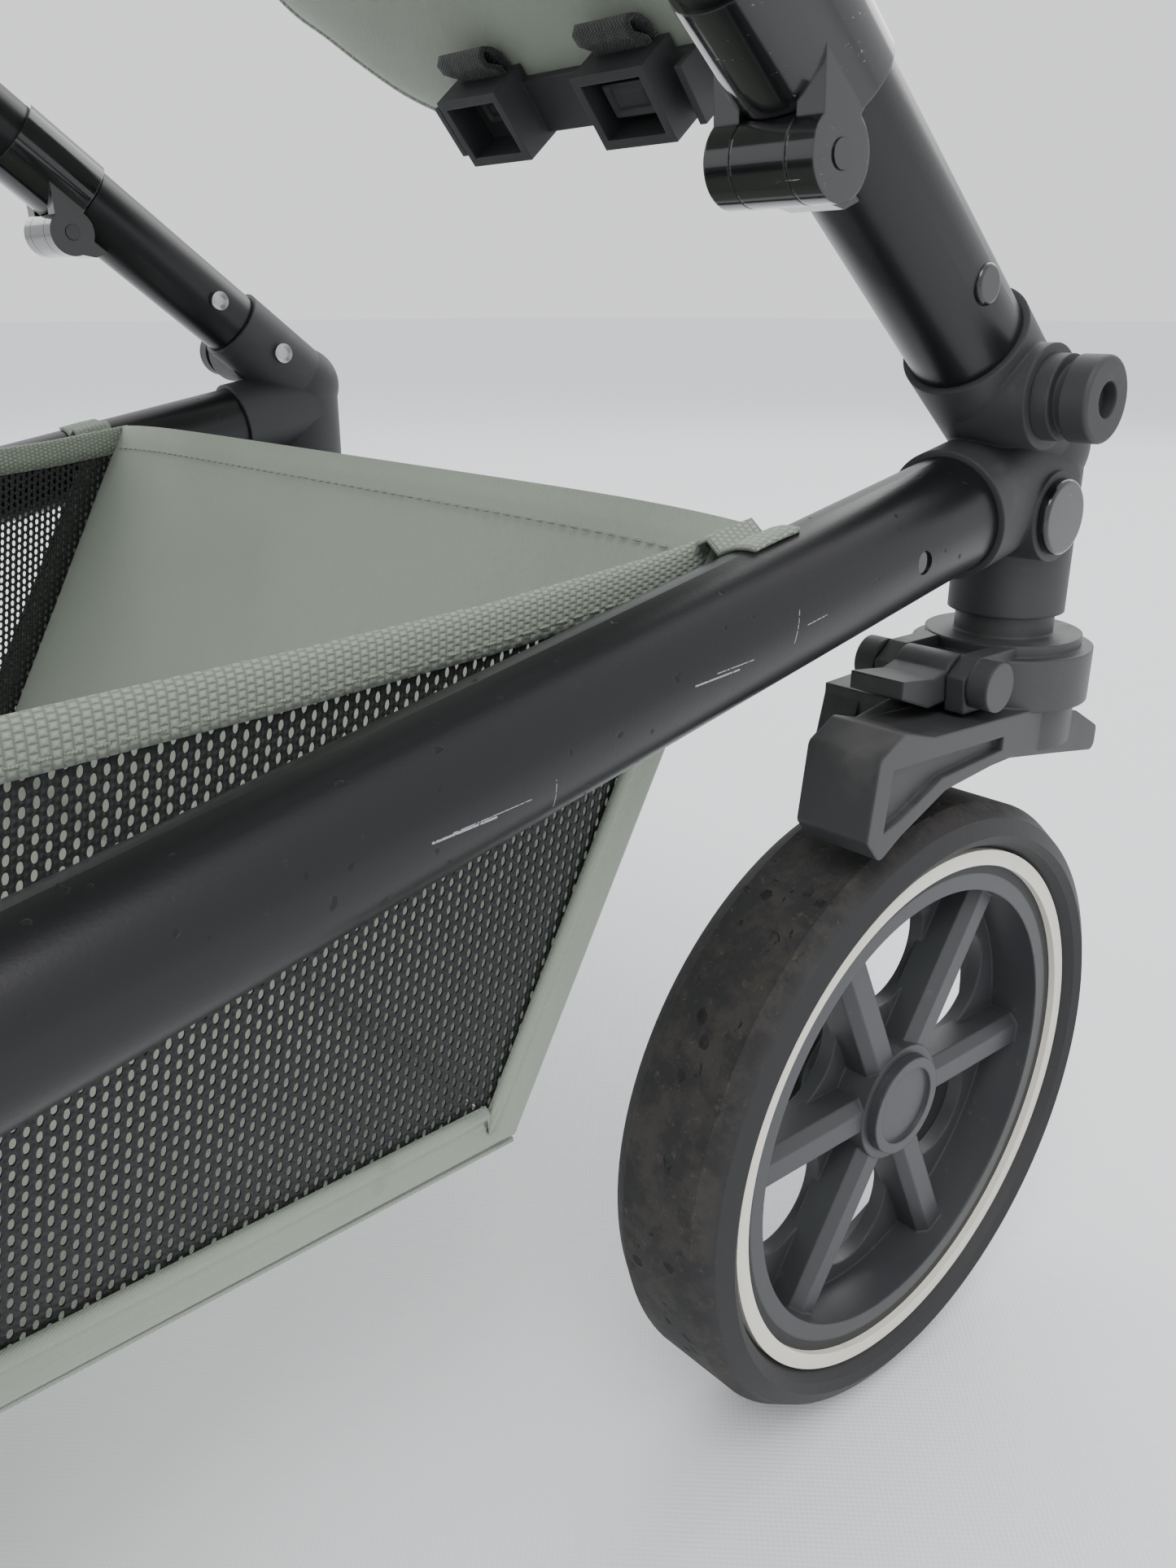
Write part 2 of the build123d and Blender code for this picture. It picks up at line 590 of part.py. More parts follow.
def strap(y):
    """Webbing that leaves the rim of the basket and lies over the inner side of the lower tube."""
    a = lower_point(y - 7)
    b = lower_point(y + 7)
    band = rod(a, b, lower_tube_radius + 1.5) - rod(a - (b - a), b + (b - a), lower_tube_radius + 0.3)
    band -= block(-basket_half - 0.3, 0, y - 30, y + 30, 100, 400)
    return band - block(-half_track - 80, a.X + 4.0, y - 30, y + 30, 100, 400)


save_group("basket_straps", both(strap(122.0), strap(525.0)))


# ---- seat frame: hubs, rails and cross bars
hub_x = joint.X + joint_half + 0.5
rail_x = -seat_half
rail_dir = Vector(0, back_top_y - joint.Y, back_top_z - joint.Z).normalized()
bar_pivot = Vector(0, joint.Y, joint.Z) + rail_dir * bar_pivot_along
canopy_pivot = Vector(0, joint.Y, joint.Z) + rail_dir * canopy_pivot_along
hub = disc(hub_x, hub_x + hub_depth, joint.Y, joint.Z, hub_radius)
hub += rod((rail_x, joint.Y, joint.Z), (rail_x, back_top_y, back_top_z), rail_radius)
hub += rod((rail_x, joint.Y, joint.Z), (rail_x, seat_front_y, seat_front_z), rail_radius)
hub += disc(hub_x, rail_x, joint.Y, joint.Z, hub_radius - 8)
hub += Pos(rail_x, joint.Y, joint.Z) * Sphere(rail_radius + 4)
hub += Pos(rail_x, seat_front_y, seat_front_z) * Sphere(rail_radius)
hub += Pos(rail_x, back_top_y, back_top_z) * Sphere(rail_radius)
for place in (bar_pivot, canopy_pivot):
    hub += disc(rail_x - rail_radius - 1.0, rail_x, place.Y, place.Z, boss_radius)
hub -= disc(rail_x - 20, rail_x - rail_radius + 6.0, bar_pivot.Y, bar_pivot.Z, small_pin_radius + fit)
hub += disc(rail_x - canopy_half + seat_half - 1.0, rail_x, canopy_pivot.Y, canopy_pivot.Z, small_pin_radius)
save_sides("seat_rail", hub)
bar_half = seat_half - rail_radius
top_bar = rod((-bar_half, back_top_y, back_top_z), (bar_half, back_top_y, back_top_z), rail_radius - 1.5)
front_bar = rod(
    (-bar_half, seat_front_y, seat_front_z), (bar_half, seat_front_y, seat_front_z), foot_bar_radius)
save_group("seat_bars", [top_bar, front_bar])


# ---- seat soft goods: pan and back
pan_start = (seat_front_y + foot_bar_radius + 3.5 + gap, seat_front_z - 10.0)
pan_end = (pan_rear_y, pan_rear_z)
seat_pad = sheet_along(pan_start, pan_end, pad_thickness, pad_half, pad_half - 8, 24.0)
save("seat_pad", seat_pad)

back_run = Vector(0, back_top_y - pan_rear_y, back_top_z - pan_rear_z).normalized()
back_start = (pan_rear_y - 4.0, pan_rear_z + pad_thickness + 0.7)
back_end = (back_start[0] + back_run.Y * back_length, back_start[1] + back_run.Z * back_length)
back_pad = sheet_along(back_start, back_end, back_thickness, pad_half - 6, pad_half - 6, 34.0)
save("back_pad", back_pad)


# ---- footrest: rounded panel hanging from the front bar, strap plate at its lower end
foot_run = Vector(0, foot_tip_y - seat_front_y, foot_tip_z - seat_front_z)
foot_length = foot_run.length
foot_normal = Vector(1, 0, 0).cross(foot_run)
foot_plane = Plane(origin=(0, seat_front_y, seat_front_z), x_dir=(1, 0, 0), z_dir=foot_normal)
foot_top = foot_bar_radius + 4.0
half_outline = [(pad_half, foot_top), (pad_half + 9.0, foot_length * 0.50),
                (pad_half - 8.0, foot_length * 0.66), (foot_half + 46.0, foot_length * 0.86),
                (foot_half + 8.0, foot_length * 0.97), (foot_half - 10.0, foot_length)]
foot_face = make_face(Polyline(*half_outline, *[(-x, y) for x, y in reversed(half_outline)], close=True))
foot_face = fillet(foot_face.vertices(), 9.0)
footrest = foot_plane * Pos(0, 0, -foot_thickness / 2) * extrude(foot_face, amount=foot_thickness)
save("footrest", footrest)


def on_footrest(x0, x1, y0, y1, z0, z1):
    return foot_plane * block(x0, x1, y0, y1, z0, z1)


under = foot_thickness / 2 + 0.1
hinges = []
for side in (-1, 1):
    lug = disc(side * 60.0, side * 90.0, seat_front_y, seat_front_z, foot_bar_radius + 3.5)
    lug += on_footrest(side * 60.0, side * 90.0, 0, 40, under, under + 2.5)
    lug += on_footrest(side * 60.0, side * 90.0, 0, foot_top - 0.6, 0, under + 2.5)
    lug -= disc(side * 50.0, side * 100.0, seat_front_y, seat_front_z, foot_bar_radius + fit)
    hinges.append(lug.solids().sort_by(SortBy.VOLUME)[-1])
save_group("footrest_hinges", hinges)

plate = on_footrest(-plate_half, plate_half, foot_length - 24, foot_length - 3, under, under + 3.5)
for x in (-clip_x, clip_x):
    plate += on_footrest(x - 18, x + 18, foot_length - 29, foot_length - 1, under, under + 17)
    plate -= on_footrest(x - 14.5, x + 14.5, foot_length - 25.5, foot_length - 4.5, under + 4, under + 30)
for x in (-plate_half, plate_half - 3.0):
    plate += on_footrest(x, x + 3.0, foot_length - 24, foot_length - 3, under, under + 12)
save("strap_plate", plate)


# ---- bumper bar across the front of the seat
bar_x = -(seat_half + rail_radius + bar_radius + 2.4)
bar_start = Vector(bar_x, bar_pivot.Y, bar_pivot.Z)
bar_corner = Vector(bar_x, bar_front_y, bar_front_z)
bar_path = FilletPolyline(bar_start, bar_corner, Vector(-bar_x, bar_front_y, bar_front_z),
                          Vector(-bar_x, bar_pivot.Y, bar_pivot.Z), radius=bar_bend)
bar_face = Plane(origin=bar_start, z_dir=bar_corner - bar_start) * Circle(bar_radius)
bumper = sweep(bar_face, path=bar_path)
for side in (-1, 1):
    inner_face = side * (seat_half + rail_radius + 1.6)
    bumper += disc(inner_face, side * (-bar_x + bar_radius - 1.5), bar_pivot.Y, bar_pivot.Z, boss_radius + 2.0)
    bumper += disc(inner_face - side * 6.0, inner_face, bar_pivot.Y, bar_pivot.Z, small_pin_radius)
save("bumper_bar", bumper)


# ---- canopy: three fabric hoods that nest one inside the other as it opens
def hood(level, angles):
    half = canopy_half - canopy_step * level
    radius = canopy_radius - canopy_step * level
    corner = canopy_corner - canopy_step * level

    def pie(h, r, c):
        face = make_face(Polyline((-h, 0), (h, 0), (h, r), (-h, r), close=True))
        return fillet(face.vertices().group_by(Axis.Y)[-1], c)

    shell = revolve(pie(half, radius, corner), axis=Axis.X, revolution_arc=angles[1] - angles[0])
    core_cut = revolve(pie(half - canopy_sheet, radius - canopy_sheet, corner - canopy_sheet), axis=Axis.X,
                       revolution_arc=360)
    shell -= core_cut
    shell = Rot(angles[0], 0, 0) * shell
    for side in (-1, 1):
        eye = disc(side * (half - canopy_sheet), side * half, 0, 0, boss_radius)
        shell += eye
    shell -= disc(-half - 9, half + 9, 0, 0, small_pin_radius + fit)
    return Pos(0, canopy_pivot.Y, canopy_pivot.Z) * shell


for level, name in enumerate(("canopy_rear", "canopy_middle", "canopy_front")):
    save(name, hood(level, canopy_angles[level]))


# ---- harness: shoulder, lap and crotch straps with their buckle
def on_sheet(start, run, lift):
    """A plane on a pad: Y runs along the pad, Z stands off it."""
    z_dir = Vector(1, 0, 0).cross(run)
    return Plane(origin=Vector(0, start[0], start[1]) + z_dir.normalized() * lift, x_dir=(1, 0, 0), z_dir=z_dir)


pan_run = Vector(0, pan_end[0] - pan_start[0], pan_end[1] - pan_start[1])
back_plane = on_sheet(back_start, back_run, back_thickness + gap)
pan_plane = on_sheet(pan_start, pan_run, pad_thickness + gap)
pan_length = pan_run.length
straps = []
for side in (-1, 1):
    shoulder_x = side * 55
    straps.append(back_plane * block(
        shoulder_x - strap_half, shoulder_x + strap_half, 150, 330, 0, strap_thickness))
    straps.append(pan_plane * block(side * 40, side * 120, pan_length - 60, pan_length - 60 + 2 * strap_half,
                                    0, strap_thickness))
straps.append(pan_plane * block(-strap_half, strap_half, pan_length - 160, pan_length - 97, 0, strap_thickness))
save_group("harness_straps", straps)
buckle = block(-27, 27, pan_length - 94, pan_length - 40, 0, 15.0)
buckle = fillet(buckle.edges().filter_by(Axis.Z), 14.0)
buckle = fillet(buckle.edges().group_by(Axis.Z)[-1], 4.0)
save("harness_buckle", pan_plane * buckle)
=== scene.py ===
from math import cos, pi, radians, sin

import bmesh
import bpy
from mathutils import Matrix, Vector


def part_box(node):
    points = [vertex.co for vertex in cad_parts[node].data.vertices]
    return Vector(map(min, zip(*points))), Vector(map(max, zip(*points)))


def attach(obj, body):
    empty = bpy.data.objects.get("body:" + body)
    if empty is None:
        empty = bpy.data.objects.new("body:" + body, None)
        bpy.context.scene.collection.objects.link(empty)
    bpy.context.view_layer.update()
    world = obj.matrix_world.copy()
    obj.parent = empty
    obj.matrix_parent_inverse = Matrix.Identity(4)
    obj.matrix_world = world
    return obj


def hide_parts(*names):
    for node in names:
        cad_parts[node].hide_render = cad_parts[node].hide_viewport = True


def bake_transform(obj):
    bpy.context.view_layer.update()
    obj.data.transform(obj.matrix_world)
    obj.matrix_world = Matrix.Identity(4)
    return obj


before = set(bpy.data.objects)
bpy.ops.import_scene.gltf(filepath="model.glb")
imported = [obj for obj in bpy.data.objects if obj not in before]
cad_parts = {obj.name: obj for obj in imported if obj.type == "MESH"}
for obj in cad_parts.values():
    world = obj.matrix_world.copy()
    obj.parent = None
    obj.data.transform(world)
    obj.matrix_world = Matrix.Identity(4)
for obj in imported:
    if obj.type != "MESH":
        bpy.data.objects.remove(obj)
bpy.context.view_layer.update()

MM = 0.001


# ---- Camera, floor and light ---------------------------------------------------
# The view is from the rear right, just above the basket, looking forward and down
# over the right front wheel.  The floor is a pale studio sheet under large soft lamps.
wheel_low, wheel_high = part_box("front_wheel_tyre_right")
CASTER_TRAIL = 46.4 * MM
swivel_y = (wheel_low.y + wheel_high.y) / 2 - CASTER_TRAIL
swivel_x = (wheel_low.x + wheel_high.x) / 2
camera_place = Vector((swivel_x - 193.58 * MM, swivel_y + 348.0 * MM, 335.88 * MM))
heading = radians(42.408)
dip = radians(20.707)
look = Vector((cos(heading) * cos(dip), -sin(heading) * cos(dip), -sin(dip)))
FRAME_HEIGHT, FOCAL_LENGTH, SENSOR_HEIGHT = 1927.0, 1554.93, 36.0
bpy.ops.object.select_all(action="DESELECT")
bpy.ops.object.camera_add(location=camera_place, rotation=look.to_track_quat("-Z", "Y").to_euler())
camera = bpy.context.object
camera.data.sensor_fit = "VERTICAL"
camera.data.sensor_height = SENSOR_HEIGHT
camera.data.lens = SENSOR_HEIGHT * FOCAL_LENGTH / FRAME_HEIGHT
camera.data.clip_start = 0.02
bpy.context.scene.camera = camera

for name, place, aim, size, power in (
    ("key_lamp", (-1.4, 1.0, 2.6), (0.0, -0.2, 0.2), 1.6, 46.0),
    ("fill_lamp", (2.6, 0.4, 2.2), (0.0, -0.2, 0.3), 2.4, 30.0),
    ("front_lamp", (0.6, -3.0, 2.4), (0.0, 0.0, 0.3), 2.6, 44.0),
):
    turn = (Vector(aim) - Vector(place)).to_track_quat("-Z", "Y").to_euler()
    bpy.ops.object.light_add(type="AREA", location=place, rotation=turn)
    lamp = bpy.context.object
    lamp.name = name
    lamp.data.size = size
    lamp.data.energy = power

world = bpy.data.worlds.new("studio")
bpy.context.scene.world = world
world.use_nodes = True
world.node_tree.nodes["Background"].inputs["Color"].default_value = (0.95, 0.96, 0.98, 1.0)
world.node_tree.nodes["Background"].inputs["Strength"].default_value = 1.25


class Signal:
    """A shader value: sums and products of signals add the Math nodes that work them out."""

    def __init__(self, tree, socket):
        self.tree = tree
        self.socket = socket

    def math(self, operation, *others, swap=False):
        node = self.tree.nodes.new("ShaderNodeMath")
        node.operation = operation
        values = (self,) + others
        if swap:
            values = tuple(reversed(values))
        for socket, value in zip(node.inputs, values):
            connect(self.tree, socket, value)
        return Signal(self.tree, node.outputs[0])

    def __add__(self, other):
        return self.math("ADD", other)

    def __sub__(self, other):
        return self.math("SUBTRACT", other)

    def __mul__(self, other):
        return self.math("MULTIPLY", other)

    def __truediv__(self, other):
        return self.math("DIVIDE", other)

    def __rsub__(self, other):
        return self.math("SUBTRACT", other, swap=True)

    def __gt__(self, other):
        return self.math("GREATER_THAN", other)

    def __lt__(self, other):
        return self.math("LESS_THAN", other)

    def __abs__(self):
        return self.math("ABSOLUTE")

    __radd__ = __add__
    __rmul__ = __mul__


def connect(tree, socket, value):
    """Links a signal to a socket, or sets the socket to a plain value."""
    if isinstance(value, Signal):
        tree.links.new(value.socket, socket)
    elif isinstance(value, (tuple, list)) and len(value) == 3 and socket.type == "RGBA":
        socket.default_value = (*value, 1.0)
    else:
        socket.default_value = value


class Finish:
    """One material: a Principled shader and the nodes that vary it over the surface."""

    def __init__(self, name, colour, roughness, **constants):
        self.material = bpy.data.materials.new(name)
        self.material.use_nodes = True
        self.tree = self.material.node_tree
        self.shader = self.tree.nodes["Principled BSDF"]
        self.set("Base Color", colour)
        self.set("Roughness", roughness)
        for socket, value in constants.items():
            self.set(socket.replace("_", " ").title().replace("Ior", "IOR"), value)
        self.place = self.node("ShaderNodeTexCoord", output="Object")

    def set(self, socket, value):
        connect(self.tree, self.shader.inputs[socket], value)

    def node(self, kind, settings=(), output=0, **values):
        node = self.tree.nodes.new(kind)
        for key, value in dict(settings).items():
            setattr(node, key, value)
        for key, value in values.items():
            socket = node.inputs[int(key[1:])] if key[0] == "i" and key[1:].isdigit() else None
            if socket is None:
                socket = node.inputs[key.replace("_", " ").title()]
            connect(self.tree, socket, value)
        return Signal(self.tree, node.outputs[output])

    def noise(self, scale, detail=2.0, rough=0.5, stretch=None):
        at = self.place
        if stretch:
            at = self.node("ShaderNodeMapping", i0=at, i3=stretch)
        return self.node("ShaderNodeTexNoise", output="Fac", Vector=at, Scale=scale,
                         Detail=detail, Roughness=rough)

    def along(self, direction):
        """How far a point lies along a direction, in metres."""
        return self.node("ShaderNodeVectorMath", {"operation": "DOT_PRODUCT"}, output="Value",
                         i0=self.place, i1=direction)

    def ramp(self, value, low, high):
        """0 below low, 1 above high, smooth between."""
        return self.node("ShaderNodeMapRange", {"interpolation_type": "SMOOTHSTEP"},
                         i0=value, i1=low, i2=high, i3=0.0, i4=1.0)

    def mix(self, factor, low, high):
        return self.node("ShaderNodeMix", {"data_type": "RGBA"}, output=2, i0=factor, i6=low, i7=high)

    def bump(self, height, distance, strength=1.0):
        self.set("Normal", self.node("ShaderNodeBump", Height=height, Distance=distance, Strength=strength))

    def segment(self, start, end, width):
        """A scratch seen from the side: 1 on the line from start to end, 0 beyond its width."""
        side_view = self.node("ShaderNodeMapping", i0=self.place, i3=(0.0, 1.0, 1.0))
        start = Vector(start)
        run = Vector(end) - start
        step = run.normalized()
        off = self.node("ShaderNodeVectorMath", {"operation": "SUBTRACT"}, i0=side_view, i1=start)
        reach = self.node("ShaderNodeVectorMath", {"operation": "DOT_PRODUCT"}, output="Value",
                          i0=off, i1=step)
        inside = reach.math("MAXIMUM", 0.0).math("MINIMUM", run.length)
        foot = self.node("ShaderNodeVectorMath", {"operation": "SCALE"}, i0=tuple(step), Scale=inside)
        gap = self.node("ShaderNodeVectorMath", {"operation": "DISTANCE"}, output="Value",
                        i0=off, i1=foot)
        return gap < width


floor_sheet = Finish("floor_sheet", (0.86, 0.87, 0.89), 0.6)
weave_u = (floor_sheet.along((1, 0, 0)) * (2 * pi / 0.0022)).math("SINE")
weave_v = (floor_sheet.along((0, 1, 0)) * (2 * pi / 0.0022)).math("SINE")
floor_sheet.bump(weave_u * weave_v, 0.00012, 0.5)
speck = floor_sheet.ramp(floor_sheet.noise(55.0, 6.0, 0.7), 0.70, 0.78)
floor_sheet.set("Base Color", floor_sheet.mix(speck * 0.35, (0.86, 0.87, 0.89), (0.50, 0.49, 0.48)))
bpy.ops.object.select_all(action="DESELECT")
bpy.ops.mesh.primitive_plane_add(size=60.0, location=(0, 0, -0.0006))
floor = bpy.context.object
floor.name = "studio_floor"
floor.data.materials.append(floor_sheet.material)


def paint(finish, *nodes):
    """Gives the carried-over CAD nodes this finish."""
    for node in nodes:
        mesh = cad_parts[node].data
        mesh.materials.clear()
        mesh.materials.append(finish.material)


def settle(piece, body, finish):
    """Puts a finished piece's place into its mesh, gives it the finish and hangs it on a body if one is given."""
    bpy.ops.object.select_all(action="DESELECT")
    piece.select_set(True)
    bpy.context.view_layer.objects.active = piece
    bpy.ops.object.transform_apply(location=True, rotation=True, scale=True)
    piece.data.materials.clear()
    piece.data.materials.append(finish.material)
    if body:
        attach(piece, body)
    return piece


# ---- Lower tubes ----------------------------------------------------------------
# Long 32 mm steel tubes in satin black powder coat.  The right one is the nearest
# piece: its coat has orange peel, pin holes painted darker as painted shade, dust and bare scratches.
tube_black = Finish("tube_black", (0.006, 0.006, 0.007), 0.34,
                    coat_weight=0.08, coat_roughness=0.3, specular_ior_level=0.36)
peel = tube_black.noise(900.0, 2.0, 0.6)
cloud = tube_black.noise(18.0, 4.0, 0.6)
pin_holes_and_hole_shade = tube_black.ramp(tube_black.noise(260.0, 1.0, 0.3), 0.735, 0.775)
tube_black.bump(peel * 0.6 - pin_holes_and_hole_shade * 1.5, 0.00012, 0.5)
tube_black.set("Roughness", 0.27 + cloud * 0.16 + pin_holes_and_hole_shade * 0.25)
bare_scratches = [
    ((228.7, 246.3), (213.8, 247.0), 0.00024),
    ((224.0, 246.9), (205.0, 248.1), 0.00010),
    ((159.0, 261.2), (144.9, 262.1), 0.00018),
    ((152.0, 262.6), (140.0, 263.4), 0.00010),
    ((125.6, 264.6), (123.4, 271.7), 0.00010),
    ((121.0, 268.0), (114.0, 269.2), 0.00010),
    ((198.7, 250.5), (197.5, 244.0), 0.00008),
]
scrape = 0.0
for (y0, z0), (y1, z1), width in bare_scratches:
    start = (0.0, swivel_y + y0 * MM, z0 * MM)
    end = (0.0, swivel_y + y1 * MM, z1 * MM)
    scrape = scrape + tube_black.segment(start, end, width)
near_side = tube_black.along((1, 0, 0)) < (swivel_x - 6.0 * MM)
ragged = tube_black.ramp(tube_black.noise(1400.0, 2.0, 0.6), 0.36, 0.46)
scrape = scrape.math("MINIMUM", 1.0) * near_side * ragged
dust = tube_black.ramp(tube_black.noise(420.0, 3.0, 0.7), 0.66, 0.8) * 0.25
tube_tint = tube_black.mix(dust, (0.006, 0.006, 0.007), (0.045, 0.045, 0.045))
# Painted shade: the pin holes are painted near-black, as the shade inside them.
tube_tint = tube_black.mix(pin_holes_and_hole_shade, tube_tint, (0.002, 0.002, 0.002))
tube_black.set("Base Color", tube_black.mix(scrape, tube_tint, (0.34, 0.35, 0.37)))
paint(tube_black, "lower_tubes")


# ---- Posts, main tubes, legs and rails --------------------------------------------
# The other black tubes have the same powder coat, cleaner and a little glossier.
frame_black = Finish("frame_black", (0.006, 0.006, 0.007), 0.3,
                     coat_weight=0.1, coat_roughness=0.2, specular_ior_level=0.4)
fine_peel = frame_black.noise(800.0, 2.0, 0.5)
frame_black.bump(fine_peel, 0.00006, 0.4)
frame_black.set("Roughness", 0.26 + frame_black.noise(14.0, 3.0, 0.6) * 0.14)
paint(frame_black, "front_posts", "main_tubes", "cross_tube", "handle_sleeves", "handle_tube", "rear_legs",
      "seat_rail_right", "seat_rail_left", "seat_bars")


# ---- Front housings ---------------------------------------------------------------
# Glass-filled nylon elbows, dark grey and finely grained, that hold post, lower tube and
# swivel stem.  The stud, brackets, side joints and levers are the same plastic.
nylon = Finish("grained_nylon", (0.030, 0.031, 0.033), 0.52)
grain = nylon.noise(1500.0, 3.0, 0.6)
edge = nylon.node("ShaderNodeBevel", {"samples": 4}, Radius=0.0009)
nylon.set("Normal", nylon.node("ShaderNodeBump", Height=grain, Distance=0.00010, Strength=0.55, Normal=edge))
wear = nylon.ramp(nylon.noise(60.0, 5.0, 0.7), 0.55, 0.75)
nylon.set("Base Color", nylon.mix(wear * 0.5, (0.028, 0.029, 0.031), (0.060, 0.060, 0.062)))
nylon.set("Roughness", 0.50 + nylon.noise(35.0, 3.0, 0.6) * 0.14)
paint(nylon, "front_housing_right", "front_housing_left", "transport_studs", "rear_brackets", "side_joints",
      "leg_sliders", "handle_collars", "handle_button", "brake_pedal", "seat_release_button_right",
      "seat_release_button_left", "strap_plate", "footrest_hinges")


# ---- Fold hinge, caps and pins -----------------------------------------------------
# Die-cast hinge halves and push-in caps, gloss black.  The knuckles are scuffed where
# they turn, down to a pale grey.
gloss_black = Finish("gloss_black", (0.008, 0.008, 0.009), 0.13, coat_weight=0.5, coat_roughness=0.08)
edge = gloss_black.node("ShaderNodeBevel", {"samples": 4}, Radius=0.0008)
waves = gloss_black.noise(120.0, 2.0, 0.5)
gloss_black.set("Normal", gloss_black.node("ShaderNodeBump", Height=waves, Distance=0.00006,
                                           Strength=0.3, Normal=edge))
rub = gloss_black.ramp(gloss_black.noise(700.0, 4.0, 0.7, stretch=(0.12, 1.0, 1.0)), 0.64, 0.72)
patch = gloss_black.ramp(gloss_black.noise(90.0, 2.0, 0.5), 0.52, 0.62)
gloss_black.set("Base Color", gloss_black.mix(rub * patch * 0.8, (0.008, 0.008, 0.009), (0.42, 0.41, 0.40)))
gloss_black.set("Roughness", 0.13 + rub * patch * 0.4)
paint(gloss_black, "hinge_ears", "hinge_knuckles", "covers_and_screws")

dark_steel = Finish("dark_steel", (0.30, 0.30, 0.31), 0.35, metallic=1.0)
turned = dark_steel.noise(900.0, 2.0, 0.5, stretch=(0.05, 1.0, 1.0))
dark_steel.bump(turned, 0.00003, 0.4)
dark_steel.set("Roughness", 0.28 + turned * 0.2)
paint(dark_steel, "rear_axle")
pin_black = Finish("pin_black", (0.012, 0.012, 0.013), 0.22, coat_weight=0.4)
pin_black.bump(pin_black.noise(600.0, 2.0, 0.5), 0.00003, 0.3)
paint(pin_black, "hinge_pins")


# ---- Forks and swivel locks ----------------------------------------------------------
# The fork is one nylon moulding: a head below the housing, a wing over the tyre and one
# arm down the inner side of the wheel.  The lock lever turns in two lugs at its rear.
fork_nylon = Finish("fork_nylon", (0.040, 0.041, 0.043), 0.5)
grain = fork_nylon.noise(1300.0, 3.0, 0.6)
edge = fork_nylon.node("ShaderNodeBevel", {"samples": 4}, Radius=0.0012)
fork_nylon.set("Normal", fork_nylon.node("ShaderNodeBump", Height=grain, Distance=0.0001,
                                         Strength=0.5, Normal=edge))
dusty = fork_nylon.ramp(fork_nylon.noise(40.0, 5.0, 0.7), 0.45, 0.8)
fork_nylon.set("Base Color", fork_nylon.mix(dusty * 0.45, (0.036, 0.037, 0.039), (0.11, 0.105, 0.10)))
fork_nylon.set("Roughness", 0.48 + dusty * 0.25)
paint(fork_nylon, "fork_right", "fork_left", "swivel_lock_lever_right", "swivel_lock_lever_left")


# ---- Wheels ---------------------------------------------------------------------------
# Six-spoke nylon rims with foamed polyurethane tyres, a moulded cream ring between them
# and a plain cap over the axle.  The treads are pitted and full of brown grit, with painted shade in the pits and
# cuts.
def tread(name, axle):
    """Tyre rubber with pits and grit on the tread, told from the side wall by its radius."""
    rubber = Finish(name, (0.016, 0.016, 0.017), 0.75)
    from_axle = rubber.node("ShaderNodeVectorMath", {"operation": "SUBTRACT"},
                            i0=rubber.place, i1=tuple(axle))
    flat = rubber.node("ShaderNodeMapping", i0=from_axle, i3=(0.0, 1.0, 1.0))
    radius = rubber.node("ShaderNodeVectorMath", {"operation": "LENGTH"}, output="Value", i0=flat)
    outer = axle.z
    on_tread = rubber.ramp(radius, outer - 0.0045, outer - 0.0012)
    band = rubber.ramp(abs(rubber.along((1, 0, 0)) - axle.x), 0.017, 0.008)
    coarse = rubber.noise(85.0, 4.0, 0.75)
    holes = rubber.node("ShaderNodeTexVoronoi", output="Distance", Vector=rubber.place,
                        Scale=135.0)
    clump = rubber.ramp(rubber.noise(30.0, 2.0, 0.6), 0.46, 0.54)
    ragged = rubber.noise(420.0, 2.0, 0.6) * 0.22
    pits_and_pit_shade = (1.0 - rubber.ramp(holes + ragged, 0.30, 0.40)) * clump * band * on_tread
    nicks = rubber.noise(240.0, 3.0, 0.8, stretch=(1.0, 0.45, 0.45))
    cuts_and_cut_shade = rubber.ramp(nicks, 0.66, 0.70) * band * on_tread
    skin = rubber.noise(500.0, 4.0, 0.7)
    grit = rubber.ramp(rubber.noise(330.0, 3.0, 0.7), 0.60, 0.70) * on_tread
    tint = rubber.mix(grit * 0.5, (0.016, 0.016, 0.017), (0.085, 0.066, 0.048))
    tint = rubber.mix(on_tread * rubber.ramp(coarse, 0.4, 0.65) * 0.5, tint, (0.058, 0.050, 0.042))
    # Painted shade: the pits and cuts are painted near-black, as the shade inside them.
    tint = rubber.mix((pits_and_pit_shade + cuts_and_cut_shade).math("MINIMUM", 1.0) * 0.92, tint, (0.002, 0.002, 0.002))
    rubber.set("Base Color", tint)
    rubber.set("Roughness", 0.62 + on_tread * 0.2)
    rubber.bump(skin * 0.25 - pits_and_pit_shade * 3.0 - cuts_and_cut_shade * 1.6 + grit * 0.3, 0.0007, 0.8)
    return rubber


cream = Finish("cream_ring", (0.74, 0.72, 0.62), 0.45)
cream.bump(cream.noise(700.0, 2.0, 0.5), 0.00005, 0.3)
cream.set("Base Color", cream.mix(cream.ramp(cream.noise(50.0, 5.0, 0.7), 0.55, 0.8) * 0.5,
                                  (0.76, 0.74, 0.64), (0.52, 0.49, 0.42)))
rim_grey = Finish("rim_grey", (0.040, 0.042, 0.045), 0.45)
grain = rim_grey.noise(1400.0, 2.0, 0.6)
edge = rim_grey.node("ShaderNodeBevel", {"samples": 4}, Radius=0.0010)
rim_grey.set("Normal", rim_grey.node("ShaderNodeBump", Height=grain, Distance=0.00008,
                                     Strength=0.5, Normal=edge))
scuff = rim_grey.ramp(rim_grey.noise(150.0, 5.0, 0.75), 0.60, 0.72)
rim_grey.set("Base Color", rim_grey.mix(scuff * 0.35, (0.038, 0.040, 0.043), (0.13, 0.13, 0.13)))
rim_grey.set("Roughness", 0.42 + scuff * 0.25)
